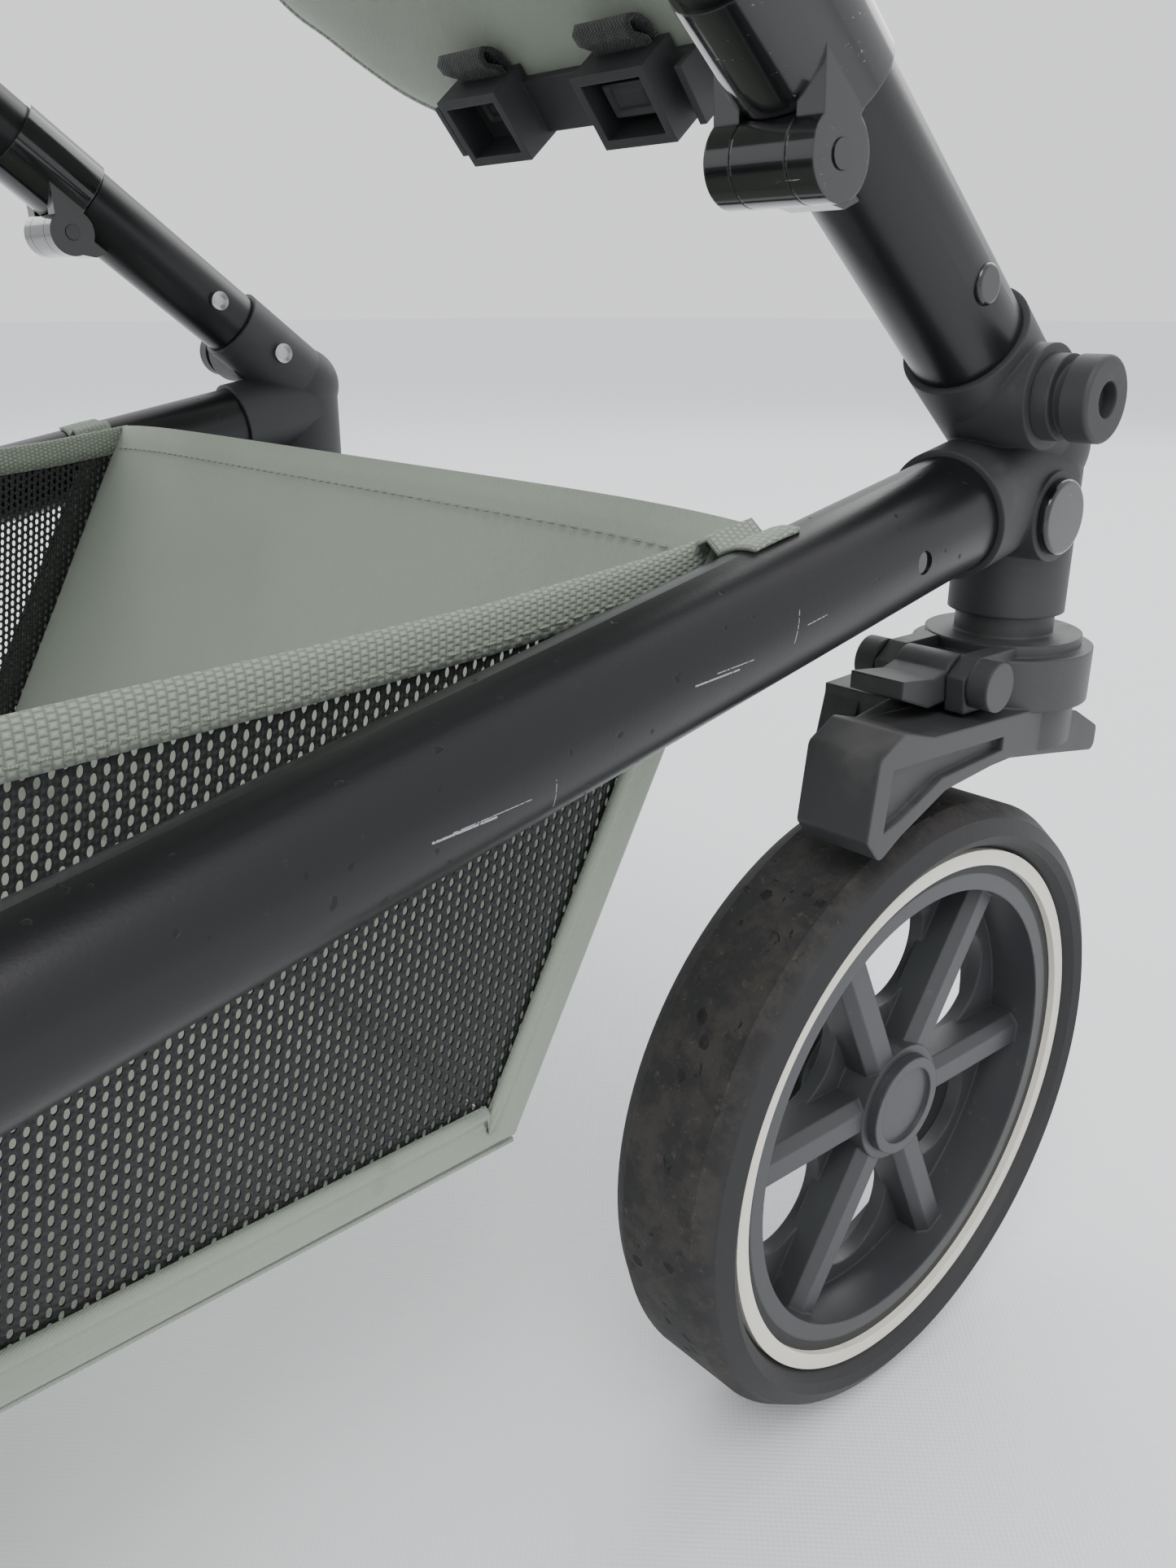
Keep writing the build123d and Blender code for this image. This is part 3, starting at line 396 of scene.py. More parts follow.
for end in ("front", "rear"):
    for side in ("right", "left"):
        low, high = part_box(f"{end}_wheel_tyre_{side}")
        paint(tread(f"tyre_rubber_{end}_{side}", (low + high) / 2), f"{end}_wheel_tyre_{side}")
        paint(cream, f"{end}_wheel_ring_{side}")
        paint(rim_grey, f"{end}_wheel_rim_{side}", f"{end}_wheel_hub_cap_{side}")


# ---- Basket ------------------------------------------------------------------------------
# A sage polyester tub hung between the lower tubes.  The front, floor and rear are smooth
# cloth, the sides are black knitted mesh, and a folded oxford band is sewn along each rim.
def spot(x, y, z):
    """A place in millimetres from the middle plane, the swivel axis and the floor."""
    return Vector((x * MM, swivel_y + y * MM, z * MM))


def as_piece(name, shape):
    """Makes an object of an edited shape."""
    mesh = bpy.data.meshes.new(name)
    shape.to_mesh(mesh)
    shape.free()
    piece = bpy.data.objects.new(name, mesh)
    bpy.context.collection.objects.link(piece)
    return piece


def cloth(name, rows, wall):
    """A curved sheet through rows of points, with its lengths as UVs and a wall given to it."""
    sheet = bmesh.new()
    lengths = sheet.loops.layers.uv.new("cloth")
    grid = [[sheet.verts.new(point) for point in row] for row in rows]
    down = [0.0]
    for above, below in zip(rows, rows[1:]):
        middle = len(above) // 2
        down.append(down[-1] + (below[middle] - above[middle]).length)
    across = [0.0]
    for left, right in zip(rows[len(rows) // 2], rows[len(rows) // 2][1:]):
        across.append(across[-1] + (right - left).length)
    for j in range(len(rows) - 1):
        for k in range(len(rows[0]) - 1):
            corners = ((j, k), (j, k + 1), (j + 1, k + 1), (j + 1, k))
            face = sheet.faces.new([grid[a][b] for a, b in corners])
            face.smooth = True
            for loop, (a, b) in zip(face.loops, corners):
                loop[lengths].uv = (across[b], down[a])
    area = sum(face.calc_area() for face in sheet.faces)
    piece = as_piece(name, sheet)
    finish_with(piece, "SOLIDIFY", thickness=wall, offset=0.0)
    return piece, (across[-1], down[-1]), area


def finish_with(piece, kind, **settings):
    """Adds a modifier and applies it."""
    bpy.ops.object.select_all(action="DESELECT")
    piece.select_set(True)
    bpy.context.view_layer.objects.active = piece
    modifier = piece.modifiers.new(kind.lower(), kind)
    for key, value in settings.items():
        setattr(modifier, key, value)
    bpy.ops.object.modifier_apply(modifier=modifier.name)


def stitches(name, path, finish, body, thickness=0.42 * MM):
    """Thread along a line of points: one small bead for each stitch."""
    pitch, reach = 5.0 * MM, 3.9 * MM
    beads = bmesh.new()
    done = pitch / 2
    passed = 0.0
    for start, end in zip(path, path[1:]):
        run = end - start
        while done <= passed + run.length:
            middle = start + run * ((done - passed) / run.length)
            turn = run.to_track_quat("X", "Z").to_matrix().to_4x4()
            shape = Matrix.Translation(middle) @ turn @ Matrix.Diagonal((reach / 2, thickness, thickness, 1.0))
            bmesh.ops.create_icosphere(beads, subdivisions=1, radius=1.0, matrix=shape)
            done += pitch
        passed += run.length
    for face in beads.faces:
        face.smooth = True
    settle(as_piece(name, beads), body, finish)


SAGE = (0.285, 0.325, 0.262)
sage = Finish("sage_polyester", SAGE, 0.72, sheen_weight=0.35, sheen_roughness=0.4)
fine_u = (sage.along((1, 0, 0)) * (2 * pi / 0.00075)).math("SINE")
fine_v = (sage.along((0, 0.55, 0.84)) * (2 * pi / 0.00075)).math("SINE")
creases = sage.noise(22.0, 4.0, 0.55, stretch=(1.0, 0.5, 0.7))
blotch = sage.ramp(sage.noise(9.0, 3.0, 0.6), 0.40, 0.72)
stain = sage.ramp(sage.noise(34.0, 2.0, 0.5), 0.70, 0.76)
sage_tint = sage.mix(blotch * 0.5, SAGE, (0.245, 0.285, 0.228))
sage_tint = sage.mix(stain * 0.35, sage_tint, (0.16, 0.17, 0.13))
sage.set("Base Color", sage_tint)
sage.set("Roughness", 0.66 + blotch * 0.12)
sage.bump(fine_u * fine_v * 0.10 + creases * 0.9, 0.0016, 0.42)

oxford = Finish("sage_oxford", (0.27, 0.31, 0.25), 0.8, sheen_weight=0.3, sheen_roughness=0.5)
warp = oxford.along((0, 1, 0)) * (1 / 0.0019)
weft = oxford.along((0.6, 0, 0.8)) * (1 / 0.0013)
warp_half = warp.math("FLOOR").math("MODULO", 2.0) * 0.5
thread_u = (abs((warp.math("FRACT") - 0.5)) * 2.0).math("POWER", 2.0)
thread_v = (abs(((weft + warp_half).math("FRACT") - 0.5)) * 2.0).math("POWER", 2.0)
knots = 1.0 - (thread_u.math("MAXIMUM", thread_v))
oxford.set("Base Color", oxford.mix(knots, (0.175, 0.205, 0.160), (0.335, 0.375, 0.305)))
oxford.set("Roughness", 0.86 - knots * 0.14)
oxford.bump(knots, 0.0004, 0.8)

sewing = Finish("sage_thread", (0.24, 0.28, 0.22), 0.6, sheen_weight=0.2)
twist = (sewing.along((0, 1, 0.5)) * (2 * pi / 0.0007)).math("SINE")
sewing.bump(twist, 0.0001, 0.5)
sewing.set("Base Color", sewing.mix(twist * 0.5 + 0.5, (0.19, 0.225, 0.175), (0.27, 0.305, 0.25)))

knit = Finish("knitted_mesh", (0.012, 0.012, 0.013), 0.7)
column = knit.along((0, 0.985, 0.174)) * (1 / 0.0024)
lift = column.math("FLOOR").math("MODULO", 2.0).math("ABSOLUTE") * 0.5
row = knit.along((0, -0.174, 0.985)) * (1 / 0.0033) + lift
wobble = knit.noise(260.0, 2.0, 0.5) * 0.16 - 0.08
hole_u = (column.math("FRACT") - 0.5 + wobble) / 0.28
hole_v = (row.math("FRACT") - 0.5 + wobble) / 0.36
hole = (hole_u * hole_u + hole_v * hole_v) < 1.0
rope = ((column * 2.0).math("FRACT") - 0.5) * ((row * 2.0).math("FRACT") - 0.5)
knit.set("Alpha", 1.0 - hole)
knit.set("Base Color", knit.mix(knit.noise(900.0, 2.0, 0.6), (0.006, 0.006, 0.007), (0.045, 0.045, 0.046)))
knit.set("Roughness", 0.6 + knit.noise(500.0, 2.0, 0.6) * 0.3)
knit.bump(abs(rope) * 4.0 + knit.noise(1200.0, 2.0, 0.5) * 0.5, 0.0005, 0.8)

tub_half = (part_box("basket")[1].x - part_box("basket")[0].x) / 2 / MM
rim_knots = ((100.0, 285.0), (137.0, 280.5), (186.0, 276.5), (235.0, 274.2), (290.0, 273.0),
             (400.0, 269.5), (580.0, 262.0))
FLOOR_Z = 141.5
TRACK_HALF, TUBE_SPLAY = 201.4, 0.026
TUBE_BASE, TUBE_FALL = 289.5, 0.1853


def rim(y):
    """Height of the side rims."""
    for (y0, z0), (y1, z1) in zip(rim_knots, rim_knots[1:]):
        if y <= y1:
            return z0 + (z1 - z0) * (y - y0) / (y1 - y0)
    return rim_knots[-1][1]


def front_edge(z):
    return 104.0 + (283.0 - z) * 78.0 / 142.0


def rear_edge(z):
    return 545.0 + (z - 141.0) * 33.0 / 121.0


def panel(name, top, bottom, bulge, slack, half=tub_half - 0.6, columns=40, rows=22):
    """A cloth panel across the tub between two (y, z) edges, sagging away from the taut line."""
    run = Vector((0, bottom[0] - top[0], bottom[1] - top[1]))
    out = Vector((0, run.z, -run.y)).normalized()
    points = []
    for j in range(rows + 1):
        t = j / rows
        line = []
        for k in range(columns + 1):
            s = 2 * k / columns - 1
            sag = bulge * (1 - s ** 4) * sin(pi * t) ** 0.8
            fold = slack * sin(7.5 * s + 2.0 * t) * sin(pi * t) * (0.3 + s * s) * (1 - s ** 8)
            drop = -2.2 * abs(s) ** 7 * (1 - t)
            place = Vector((s * half, top[0] + run.y * t, top[1] + run.z * t + drop)) + out * (sag + fold)
            line.append(spot(*place))
        points.append(line)
    return cloth(name, points, 1.1 * MM)


front = panel("basket_front", (103.0, 287.0), (182.0, FLOOR_Z), 4.0, 0.9)
settle(front[0], "chassis", sage)
bottom = panel("basket_floor", (182.0, FLOOR_Z), (545.0, FLOOR_Z), 3.0, 0.8, rows=40)
settle(bottom[0], "chassis", sage)
rear = panel("basket_rear", (545.0, FLOOR_Z), (578.0, 261.0), 3.0, 0.8, rows=16)
settle(rear[0], "chassis", sage)
HEM_DEPTH = 10.5
hem_y = 103.0 + HEM_DEPTH * 0.476 + 1.2
hem_z = 287.0 - HEM_DEPTH * 0.88
hem_path = [spot(s * 4.0, hem_y, hem_z - 2.2 * abs(s * 4 / tub_half) ** 7) for s in range(-45, 46)]
stitches("basket_front_hem", hem_path, sewing, "chassis")
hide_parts("basket")

basket_cloths = [front, bottom, rear]
for side, sign in (("right", -1.0), ("left", 1.0)):
    rows = []
    for j in range(17):
        v = j / 16
        line = []
        for k in range(61):
            u = k / 60
            z = FLOOR_Z + v * (rim(front_edge(270.0) + u * 440.0) - 6.0 - FLOOR_Z)
            y = front_edge(z) + 1.0 + u * (rear_edge(z) - front_edge(z) - 2.0)
            wave = 1.6 * sin(9.0 * u + 3.0 * v) * sin(pi * u) * sin(pi * v)
            line.append(spot(sign * (tub_half - 1.4 + wave * 0.6), y, z))
        rows.append(line)
    side_mesh = cloth(f"basket_mesh_{side}", rows, 0.5 * MM)
    settle(side_mesh[0], "chassis", knit)

    rows = []
    fold = ((0.6, -10.6), (1.0, -9.0), (1.5, -5.0), (1.5, -1.6), (0.9, -0.3), (0.0, 0.1),
            (-0.9, -0.3), (-1.5, -1.6), (-1.6, -6.0), (-1.2, -10.6))
    for k in range(97):
        y = 101.0 + k * 4.96
        sway = 0.7 * sin(y / 31.0)
        rows.append([spot(sign * (tub_half - 0.4 + out + sway * 0.3), y, rim(y) + up + sway * 0.4)
                     for out, up in fold])
    band = cloth(f"basket_band_{side}", rows, 0.7 * MM)
    settle(band[0], "chassis", oxford)
    seam = [spot(sign * (tub_half + 1.25), y, rim(y) - 8.0) for y in (104.0 + k * 5.0 for k in range(95))]
    stitches(f"basket_band_stitches_{side}", seam, sewing, "chassis")

    corners = ((105.0, 279.0), (182.5, 142.0), (545.0, 142.0), (576.5, 252.0))
    ridge = ((0.0, 0.2), (1.5, 1.4), (4.0, 1.7), (6.5, 1.5), (8.0, 0.9), (8.9, 1.7), (9.7, 2.5),
             (10.6, 2.6), (11.4, 1.8), (12.0, 0.4))
    rows = []
    for (y0, z0), (y1, z1) in zip(corners, corners[1:]):
        run = Vector((y1 - y0, z1 - z0))
        inward = Vector((-run.y, run.x)).normalized()
        count = max(12, int(run.length / 9.0))
        for k in range(1 if rows else 0, count + 1):
            at = Vector((y0, z0)) + run * (k / count)
            rows.append([spot(sign * (tub_half + out * 0.8), at.x + inward.x * w, at.y + inward.y * w)
                         for w, out in ridge])
    binding = cloth(f"basket_binding_{side}", rows, 0.8 * MM)
    settle(binding[0], "chassis", sage)
    basket_cloths += [side_mesh, band, binding]

    LOOP_HALF, LOOP_RADIUS = 8.0, 17.3
    for number, y in enumerate((116.0, 525.0)):
        axis_x = TRACK_HALF + TUBE_SPLAY * y
        axis_z = TUBE_BASE - TUBE_FALL * y
        path = [(tub_half - 1.0, rim(y) - 9.0), (tub_half + 0.4, rim(y) - 3.0)]
        if number:
            path += [(tub_half + 1.0, rim(y) - 30.0), (tub_half + 1.0, axis_z + 22.0)]
        else:
            path += [(tub_half + 2.2, rim(y) + 1.2), (tub_half + 5.5, rim(y) + 2.6)]
        path += [(axis_x - LOOP_RADIUS * cos(radians(a)), axis_z + LOOP_RADIUS * sin(radians(a)))
                 for a in (58, 68, 78, 88, 97)]
        rows = []
        for step in range(9):
            w = (step / 4 - 1) * LOOP_HALF
            pinch = 1.0 - 0.25 * abs(step / 4 - 1)
            rows.append([spot(sign * x, y + w, z - TUBE_FALL * w - (1 - pinch) * 0.8) for x, z in path])
        loop = cloth(f"basket_loop_{side}_{number}", rows, 1.2 * MM)
        settle(loop[0], "chassis", oxford)
        if side == "right" and number == 0:
            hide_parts("basket_straps")
        basket_cloths.append(loop)

for piece, (width, length), area in basket_cloths:
    extent = max(width, 0.012), max(length, 0.012)
    min(area, extent[0] * extent[1])


# ---- Frame screws ----------------------------------------------------------------------
# Plated cap screws with a round recess, two in the inner face of each front post and one in
# that of each main tube.
screw_steel = Finish("screw_steel", (0.42, 0.42, 0.43), 0.32, metallic=1.0)
lathe = screw_steel.noise(1200.0, 2.0, 0.5)
screw_steel.bump(lathe, 0.00004, 0.4)
screw_steel.set("Roughness", 0.26 + lathe * 0.2)
POST_BASE, POST_RISE = 298.5, 0.79
SCREWS = (
    (183.6, 20.0, "chassis", 4.6),
    (185.2, 50.0, "chassis", 4.2),
    (185.6, 160.0, "upper_frame", 4.2),
)


def pick_end(piece):
    """Opens a primitive in edit mode with only the face at its upper end selected."""
    bpy.ops.object.mode_set(mode="EDIT")
    bpy.ops.mesh.select_mode(type="FACE")
    bpy.ops.mesh.select_all(action="DESELECT")
    shape = bmesh.from_edit_mesh(piece.data)
    for face in shape.faces:
        face.select = face.normal.z > 0.5
    bmesh.update_edit_mesh(piece.data)


for side, sign in (("right", -1.0), ("left", 1.0)):
    for number, (inner, y, body, radius) in enumerate(SCREWS):
        place = spot(sign * inner, y, POST_BASE + y * POST_RISE)
        bpy.ops.object.select_all(action="DESELECT")
        bpy.ops.mesh.primitive_cylinder_add(vertices=24, radius=radius * MM, depth=2.6 * MM,
                                            location=place, rotation=(0, -sign * pi / 2, 0))
        screw = bpy.context.object
        screw.name = f"frame_screw_{side}_{number}"
        pick_end(screw)
        bpy.ops.mesh.inset(thickness=1.9 * MM)
        bpy.ops.transform.translate(value=(sign * 1.4 * MM, 0, 0))
        bpy.ops.object.mode_set(mode="OBJECT")
        finish_with(screw, "BEVEL", width=0.4 * MM, segments=2)
        bpy.ops.object.shade_smooth_by_angle(angle=radians(35))
        settle(screw, body, screw_steel)


# ---- Footrest ----------------------------------------------------------------------------
# A padded shield on the front bar of the seat, smooth sage cloth on both faces with piping
# round its edge.  Two open clip housings hang from a plate on its underside.
hinge_spot = spot(0.0, 78.0, 520.0)
foot_run = (spot(0.0, -22.0, 404.0) - hinge_spot).normalized()
foot_under = Vector((1, 0, 0)).cross(foot_run)


def on_foot(x, along, under):
    """A place on the footrest: sideways, down from the hinge bar, and out from its middle layer."""
    return hinge_spot + Vector((x * MM, 0, 0)) + foot_run * (along * MM) + foot_under * (under * MM)


outline = [(0.0, 11.0), (60.0, 10.8), (118.0, 11.0), (138.0, 14.0), (144.0, 22.0), (147.0, 40.0),
           (151.0, 60.0), (152.5, 77.0), (147.0, 89.0), (137.0, 99.5), (124.0, 115.0),
           (108.5, 130.0), (91.0, 140.5), (68.0, 148.5), (42.0, 151.6), (16.0, 152.6), (0.0, 152.7)]
outline += [(-x, a) for x, a in reversed(outline[1:-1])]
smooth = []
count = len(outline)
for k in range(count):
    p0, p1, p2, p3 = (Vector(outline[(k + d) % count]) for d in (-1, 0, 1, 2))
    for step in range(4):
        t = step / 4
        smooth.append(0.5 * (2 * p1 + (p2 - p0) * t + (2 * p0 - 5 * p1 + 4 * p2 - p3) * t * t
                             + (3 * p1 - p0 - 3 * p2 + p3) * t ** 3))
shield = bmesh.new()
centre = Vector((0.0, 82.0))
QUILT_LINES = (50.0, 85.0, 120.0)
total = len(smooth)
layers = []
for face_side in (1.0, -1.0):
    thick = 6.9 if face_side > 0 else 7.2
    rings = []
    for j in range(1, 15):
        share = j / 14
        share = 1 - (1 - share) ** 1.6
        crown = (1 - share ** 5) ** 0.5
        ring = []
        for edge_point in smooth:
            at = centre + (edge_point - centre) * share
            depth = thick * crown
            if face_side < 0:
                depth -= 2.2 * sum(2.718 ** (-((at.y - line) / 3.2) ** 2) for line in QUILT_LINES) * crown
            shared = j == 14 and face_side < 0
            ring.append(None if shared else shield.verts.new(on_foot(at.x, at.y, face_side * depth)))
        rings.append(ring)
    if face_side < 0:
        rings[-1] = layers[0][-1]
    layers.append(rings)
    hub = shield.verts.new(on_foot(centre.x, centre.y, face_side * thick))
    for k in range(total):
        shield.faces.new((hub, rings[0][k], rings[0][(k + 1) % total]))
        for inner, outer in zip(rings, rings[1:]):
            shield.faces.new((inner[k], outer[k], outer[(k + 1) % total], inner[(k + 1) % total]))
bmesh.ops.recalc_face_normals(shield, faces=shield.faces)
for face in shield.faces:
    face.smooth = True
foot_pad = as_piece("footrest_pad", shield)
settle(foot_pad, "footrest", sage)
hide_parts("footrest")


def piping(name, path, body, closed=False):
    """Oxford-covered piping: a thin round cord through a line of points."""
    radius, sides = 1.9 * MM, 8
    cord = bmesh.new()
    rings = []
    total = len(path)
    for k, point in enumerate(path):
        before = path[k - 1] if k or closed else path[0]
        after = path[(k + 1) % total] if k + 1 < total or closed else path[-1]
        turn = (after - before).to_track_quat("Z", "Y")
        rings.append([cord.verts.new(point + turn @ Vector((cos(a), sin(a), 0)) * radius)
                      for a in (2 * pi * s / sides for s in range(sides))])
    pairs = list(zip(rings, rings[1:])) + ([(rings[-1], rings[0])] if closed else [])
    for number, (one, two) in enumerate(pairs):
        shift = 0
        if closed and number == total - 1:
            shift = min(range(sides), key=lambda s: (one[0].co - two[s].co).length)
        for s in range(sides):
            cord.faces.new((one[s], one[(s + 1) % sides], two[(s + 1 + shift) % sides], two[(s + shift) % sides]))
    if not closed:
        cord.faces.new(rings[0])
        cord.faces.new(rings[-1])
    bmesh.ops.recalc_face_normals(cord, faces=cord.faces)
    for face in cord.faces:
        face.smooth = len(face.verts) == 4
    settle(as_piece(name, cord), body, oxford)


piping("footrest_piping", [on_foot(p.x, p.y, 0.0) for p in smooth], "footrest", closed=True)

webbing = Finish("black_webbing", (0.014, 0.014, 0.015), 0.7, sheen_weight=0.2)
rib_u = (webbing.along((1, 0, 0)) * (2 * pi / 0.0016)).math("SINE")
rib_v = (webbing.along((0, 0.6, 0.8)) * (2 * pi / 0.0011)).math("SINE")
webbing.bump(rib_u * rib_v, 0.0003, 0.8)
webbing.set("Base Color", webbing.mix(rib_u * rib_v * 0.5 + 0.5, (0.008, 0.008, 0.009), (0.030, 0.030, 0.031)))
webbing.set("Roughness", 0.62 + webbing.noise(300.0, 2.0, 0.6) * 0.2)

CLIP_X = 39.0
for number, clip_x in enumerate((-CLIP_X, CLIP_X)):
    rows = []
    for k in range(13):
        x = clip_x - 13.5 + k * 2.25
        fray = 0.35 * sin(k * 1.9 + number)
        bend = [(126.0, 8.6), (122.0, 9.2), (118.5, 9.6), (114.6, 12.0 + fray), (112.2, 15.4),
                (113.8, 17.8), (117.2, 17.6 + fray), (119.6, 15.0), (121.8, 12.8), (125.0, 12.2)]
        rows.append([on_foot(x, a, u) for a, u in bend])
    tab, tab_size, tab_area = cloth(f"clip_tab_{number}", rows, 1.7 * MM)
    settle(tab, "footrest", webbing)
    min(tab_area, tab_size[0] * tab_size[1])

turn = Matrix((Vector((1, 0, 0)), foot_run, foot_under)).transposed().to_4x4()
TONGUES = ((-CLIP_X, 17.6, (21.0, 12.5, 9.0)), (CLIP_X, 13.0, (19.0, 9.0, 5.0)))
for number, (clip_x, high, size) in enumerate(TONGUES):
    bpy.ops.object.select_all(action="DESELECT")
    bpy.ops.mesh.primitive_cube_add(size=1.0)
    tongue = bpy.context.object
    tongue.name = f"clip_tongue_{number}"
    tongue.scale = [s * MM for s in size]
    bpy.ops.object.transform_apply(location=False, rotation=False, scale=True)
    pick_end(tongue)
    bpy.ops.mesh.inset(thickness=2.2 * MM)
    bpy.ops.transform.translate(value=(0, 0, -1.6 * MM))
    bpy.ops.mesh.inset(thickness=1.2 * MM)
    bpy.ops.transform.translate(value=(0, 0, 1.0 * MM))
    bpy.ops.object.mode_set(mode="OBJECT")
    finish_with(tongue, "BEVEL", width=0.7 * MM, segments=3)
    tongue.data.transform(Matrix.Translation(on_foot(clip_x, 137.5, high - 2.0)) @ turn)
    settle(tongue, "footrest", nylon)


# ---- Seat pads ---------------------------------------------------------------------------
# Foam-filled sage cushions on the seat frame, the pan and the back.  Each swells a little
# between its edges and is quilted across by sewn channels.
def pad_axes(start, end):
    """Where a pad starts, the way it runs and the way its upper face looks."""
    first, last = spot(0.0, *start), spot(0.0, *end)
    run = (last - first).normalized()
    return first, run, Vector((1, 0, 0)).cross(run)


def stuffed(name, axes, length, half, depth, channels, swell):
    """A cushion blown up by pressure from a slimmer block, held inside its space, then quilted."""
    start, run, out = axes
    bpy.ops.object.select_all(action="DESELECT")
    bpy.ops.mesh.primitive_cube_add(size=1.0)
    pad = bpy.context.object
    pad.name = name
    for vertex in pad.data.vertices:
        vertex.co = Vector((vertex.co.x * 2 * (half - swell), (vertex.co.y + 0.5) * (length - 2 * swell) + swell,
                            (vertex.co.z + 0.5) * (depth - 2 * swell * 0.8) + swell * 0.8)) * MM
    finish_with(pad, "BEVEL", width=min(depth * 0.36, 9.0) * MM, segments=4)
    finish_with(pad, "REMESH", mode="VOXEL", voxel_size=5.0 * MM)
    rest = [vertex.co.copy() for vertex in pad.data.vertices]
    bpy.context.view_layer.objects.active = pad
    air = pad.modifiers.new("air", "CLOTH")
    air.settings.use_pressure = True
    air.settings.uniform_pressure_force = 4.0
    air.settings.effector_weights.gravity = 0.0
    air.point_cache.frame_start = 1
    air.point_cache.frame_end = 20
    for frame_number in range(1, 21):
        bpy.context.scene.frame_set(frame_number)
    bpy.ops.object.modifier_apply(modifier=air.name)
    bpy.context.scene.frame_set(1)
    for vertex, before in zip(pad.data.vertices, rest):
        move = vertex.co - before
        if move.length > swell * MM:
            vertex.co = before + move * (swell * MM / move.length)
    finish_with(pad, "SUBSURF", levels=1, render_levels=1)
    for vertex in pad.data.vertices:
        x, along, up = (c / MM for c in vertex.co)
        side_share = min(1.0, abs(x) / half)
        edge_share = min(1.0, abs(2 * along / length - 1))
        crown = (1 - side_share ** 6) * (1 - edge_share ** 8)
        groove = sum(2.718 ** (-((along - line) / 4.0) ** 2) for line in channels) * crown
        if up > depth * 0.5:
            up = up - 4.2 * groove - 2.6 * (1 - crown)
        vertex.co = Vector((max(-half, min(half, x)), max(0.0, min(length, along)),
                            max(0.1, min(depth, up)))) * MM
    turn = Matrix((Vector((1, 0, 0)), run, out)).transposed().to_4x4()
    pad.data.transform(Matrix.Translation(start) @ turn)
    for face in pad.data.polygons:
        face.use_smooth = True
    settle(pad, "seat", seat_cloth)
    return pad


seat_cloth = Finish("seat_cloth", SAGE, 0.8, sheen_weight=0.4, sheen_roughness=0.5)
seat_u = (seat_cloth.along((1, 0, 0)) * (2 * pi / 0.0014)).math("SINE")
seat_v = (seat_cloth.along((0, 0.7, 0.71)) * (2 * pi / 0.0014)).math("SINE")
pucker = seat_cloth.noise(60.0, 3.0, 0.6)
shade = seat_cloth.ramp(seat_cloth.noise(11.0, 3.0, 0.6), 0.35, 0.7)
seat_cloth.set("Base Color", seat_cloth.mix(shade * 0.5, SAGE, (0.22, 0.25, 0.20)))
seat_cloth.set("Roughness", 0.74 + shade * 0.14)
seat_cloth.bump(seat_u * seat_v * 0.12 + pucker * 0.6, 0.0012, 0.5)

pan_axes = pad_axes((87.9, 510.0), (322.0, 486.0))
pan = stuffed("pan_cushion", pan_axes, 235.0, 142.5, 23.6, (60.0, 118.0, 176.0), 5.0)
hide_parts("seat_pad")
back_axes = pad_axes((318.0, 510.7), (493.0, 941.7))
back = stuffed("back_cushion", back_axes, 398.0, 138.5, 25.6, (70.0, 140.0, 210.0, 280.0, 350.0), 5.0)
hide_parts("back_pad")


# ---- Harness -----------------------------------------------------------------------------
# Black 25 mm webbing over the shoulders, hips and crotch to one round-cornered buckle.  The
# straps lie on the cushions, sewn at their ends.
def on_pad(axes, x, along, up):
    start, run, out = axes
    return start + Vector((x * MM, 0, 0)) + run * (along * MM) + out * (up * MM)


STRAP_WIDTH = 25.0


def strap(name, axes, line, lift):
    """A strap between two (x, along) points on a pad, waving a little off it."""
    rows = []
    sideways = Vector((line[1][1] - line[0][1], line[0][0] - line[1][0])).normalized()
    steps = 40
    for k in range(steps + 1):
        t = k / steps
        x = line[0][0] + (line[1][0] - line[0][0]) * t
        along = line[0][1] + (line[1][1] - line[0][1]) * t
        up = lift + 0.9 + 1.1 * sin(pi * t) * abs(sin(5.5 * t))
        rows.append([on_pad(axes, x + sideways.x * w * STRAP_WIDTH / 2,
                            along + sideways.y * w * STRAP_WIDTH / 2, up - 0.25 * w * w)
                     for w in (-1.0, -0.6, -0.2, 0.2, 0.6, 1.0)])
    piece, size, _ = cloth(name, rows, 1.5 * MM)
    settle(piece, "seat", webbing)
    return piece


shoulder = strap("shoulder_strap_right", back_axes, ((-55.0, 150.0), (-55.0, 330.0)), 26.0)
strap("shoulder_strap_left", back_axes, ((55.0, 150.0), (55.0, 330.0)), 26.0)
strap("lap_strap_right", pan_axes, ((-40.0, 187.8), (-120.0, 187.8)), 24.0)
strap("lap_strap_left", pan_axes, ((40.0, 187.8), (120.0, 187.8)), 24.0)
strap("crotch_strap", pan_axes, ((0.0, 75.0), (0.0, 138.0)), 24.0)
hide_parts("harness_straps")
paint(nylon, "harness_buckle")


# ---- Canopy ------------------------------------------------------------------------------
# One sage hood with piping round each of its four hoops, wide at the sides and rounded at the corners.  The hood
# sheet hangs on no body; the piping of the two rear hoops rides on the seat, that of the two front hoops on the
# front hoop.
pivot = spot(0.0, 426.99, 754.07)


def hood_point(angle, x, radius):
    return pivot + Vector((x * MM, cos(radians(angle)) * radius * MM, sin(radians(angle)) * radius * MM))


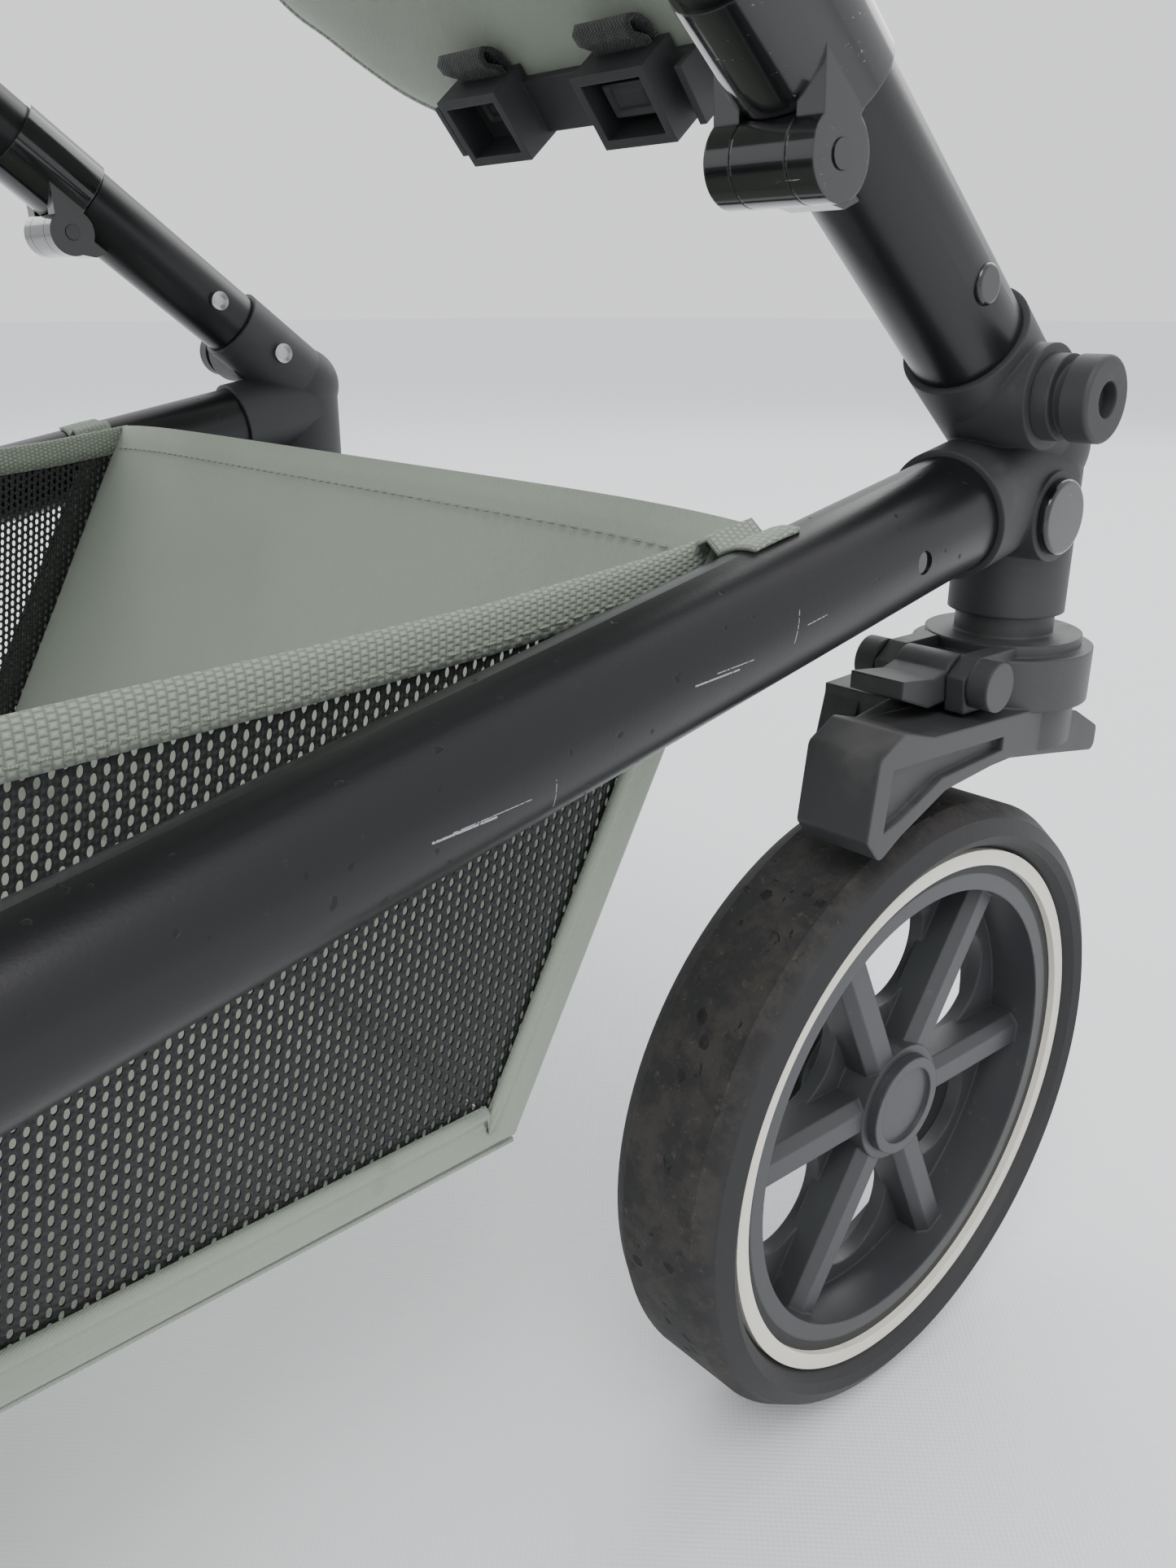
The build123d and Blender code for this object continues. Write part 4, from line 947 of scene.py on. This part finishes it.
def hood_line(angle, rise=0.0):
    """The line of the hood at one angle, from the right pivot over the top to the left one."""
    share = (angle - 48.0) / 108.0
    half = 179.6 - 8.0 * share + rise
    radius = 235.6 - 8.0 * share + rise
    corner = 54.0 - 6.0 * share
    line = [(half, 20.0 + (radius - corner - 20.0) * k / 9) for k in range(10)]
    line += [(half - corner + corner * cos(radians(a)), radius - corner + corner * sin(radians(a)))
             for a in range(10, 91, 10)]
    line += [((half - corner) * (1 - k / 9), radius) for k in range(1, 10)]
    line = [(-x, r) for x, r in line]
    return line + [(-x, r) for x, r in reversed(line[:-1])]


hoops = (48.0, 100.0, 125.0, 156.0)
rows = []
angle = hoops[0]
while angle <= hoops[-1] + 0.01:
    span = next(((a, b) for a, b in zip(hoops, hoops[1:]) if angle <= b), hoops[-2:])
    share = (angle - span[0]) / (span[1] - span[0])
    dip = sin(pi * max(0.0, min(1.0, share)))
    line = hood_line(angle)
    row = []
    for k, (x, radius) in enumerate(line):
        over = min(1.0, max(0.0, radius / 236.0)) ** 2
        ripple = 0.5 * sin(k * 0.9 + angle * 0.25) * dip
        row.append(hood_point(angle, x * (1 - 0.006 * dip), radius - (2.4 * dip + ripple) * over))
    rows.append(row)
    angle += 2.0
canopy, canopy_size, canopy_area = cloth("canopy", rows, 1.2 * MM)
settle(canopy, None, sage)
tuple(hood_point(100.0, 0.0, 232.0))
tuple(hood_point(125.0, 0.0, 230.0))
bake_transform(canopy)
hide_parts("canopy_rear", "canopy_middle", "canopy_front")
canopy_size[1] * 1.02
min(canopy_area, canopy_size[0] * canopy_size[1])
EDGES = ((48.5, "seat"), (99.0, "seat"), (126.0, "canopy_front"), (155.5, "canopy_front"))
for number, (angle, body) in enumerate(EDGES):
    edge_line = [hood_point(angle, x, radius) for x, radius in hood_line(angle, 0.5)]
    piping(f"canopy_piping_{number}", edge_line, body)
    if number in (0, 3):
        inset = 2.6 if number == 0 else -2.6
        hem_line = [hood_point(angle + inset, x, radius) for x, radius in hood_line(angle + inset, 0.9)]
        stitches(f"canopy_stitches_{number}", hem_line, sewing, body)

for side, sign in (("right", -1.0), ("left", 1.0)):
    bpy.ops.object.select_all(action="DESELECT")
    bpy.ops.mesh.primitive_cylinder_add(vertices=48, radius=19.0 * MM, depth=4.6 * MM,
                                        location=pivot + Vector((sign * 182.3 * MM, 0, 0)),
                                        rotation=(0, sign * pi / 2, 0))
    hub = bpy.context.object
    hub.name = f"canopy_hub_{side}"
    pick_end(hub)
    bpy.ops.mesh.inset(thickness=4.0 * MM)
    bpy.ops.transform.translate(value=(-sign * 1.2 * MM, 0, 0))
    bpy.ops.mesh.inset(thickness=5.0 * MM)
    bpy.ops.transform.translate(value=(sign * 0.8 * MM, 0, 0))
    bpy.ops.object.mode_set(mode="OBJECT")
    finish_with(hub, "BEVEL", width=0.6 * MM, segments=2)
    bpy.ops.object.shade_smooth_by_angle(angle=radians(35))
    settle(hub, "seat", nylon)


# ---- Bumper bar and handle grip ------------------------------------------------------------
# Foam covered in dark leatherette.  The grip's cover is sewn along its rear side.
hide = Finish("leatherette", (0.030, 0.026, 0.024), 0.45, coat_weight=0.12, coat_roughness=0.35)
cells = hide.node("ShaderNodeTexVoronoi", {"feature": "DISTANCE_TO_EDGE"}, output="Distance",
                  Vector=hide.place, Scale=520.0)
grain = hide.ramp(cells, 0.0, 0.28)
hide.bump(grain * 0.8 + hide.noise(1100.0, 2.0, 0.5) * 0.3, 0.0003, 0.7)
hide.set("Base Color", hide.mix(grain, (0.012, 0.011, 0.010), (0.036, 0.031, 0.028)))
hide.set("Roughness", 0.56 - grain * 0.14)
paint(hide, "bumper_bar", "handle_grip")
grip_low, grip_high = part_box("handle_grip")
grip_mid = (grip_low + grip_high) / 2
seam = [Vector((grip_low.x + 0.004 + k * 0.005, grip_mid.y + 0.0172, grip_mid.z + 0.002))
        for k in range(47)]
stitches("grip_stitches", seam, hide, "handle", thickness=0.5 * MM)
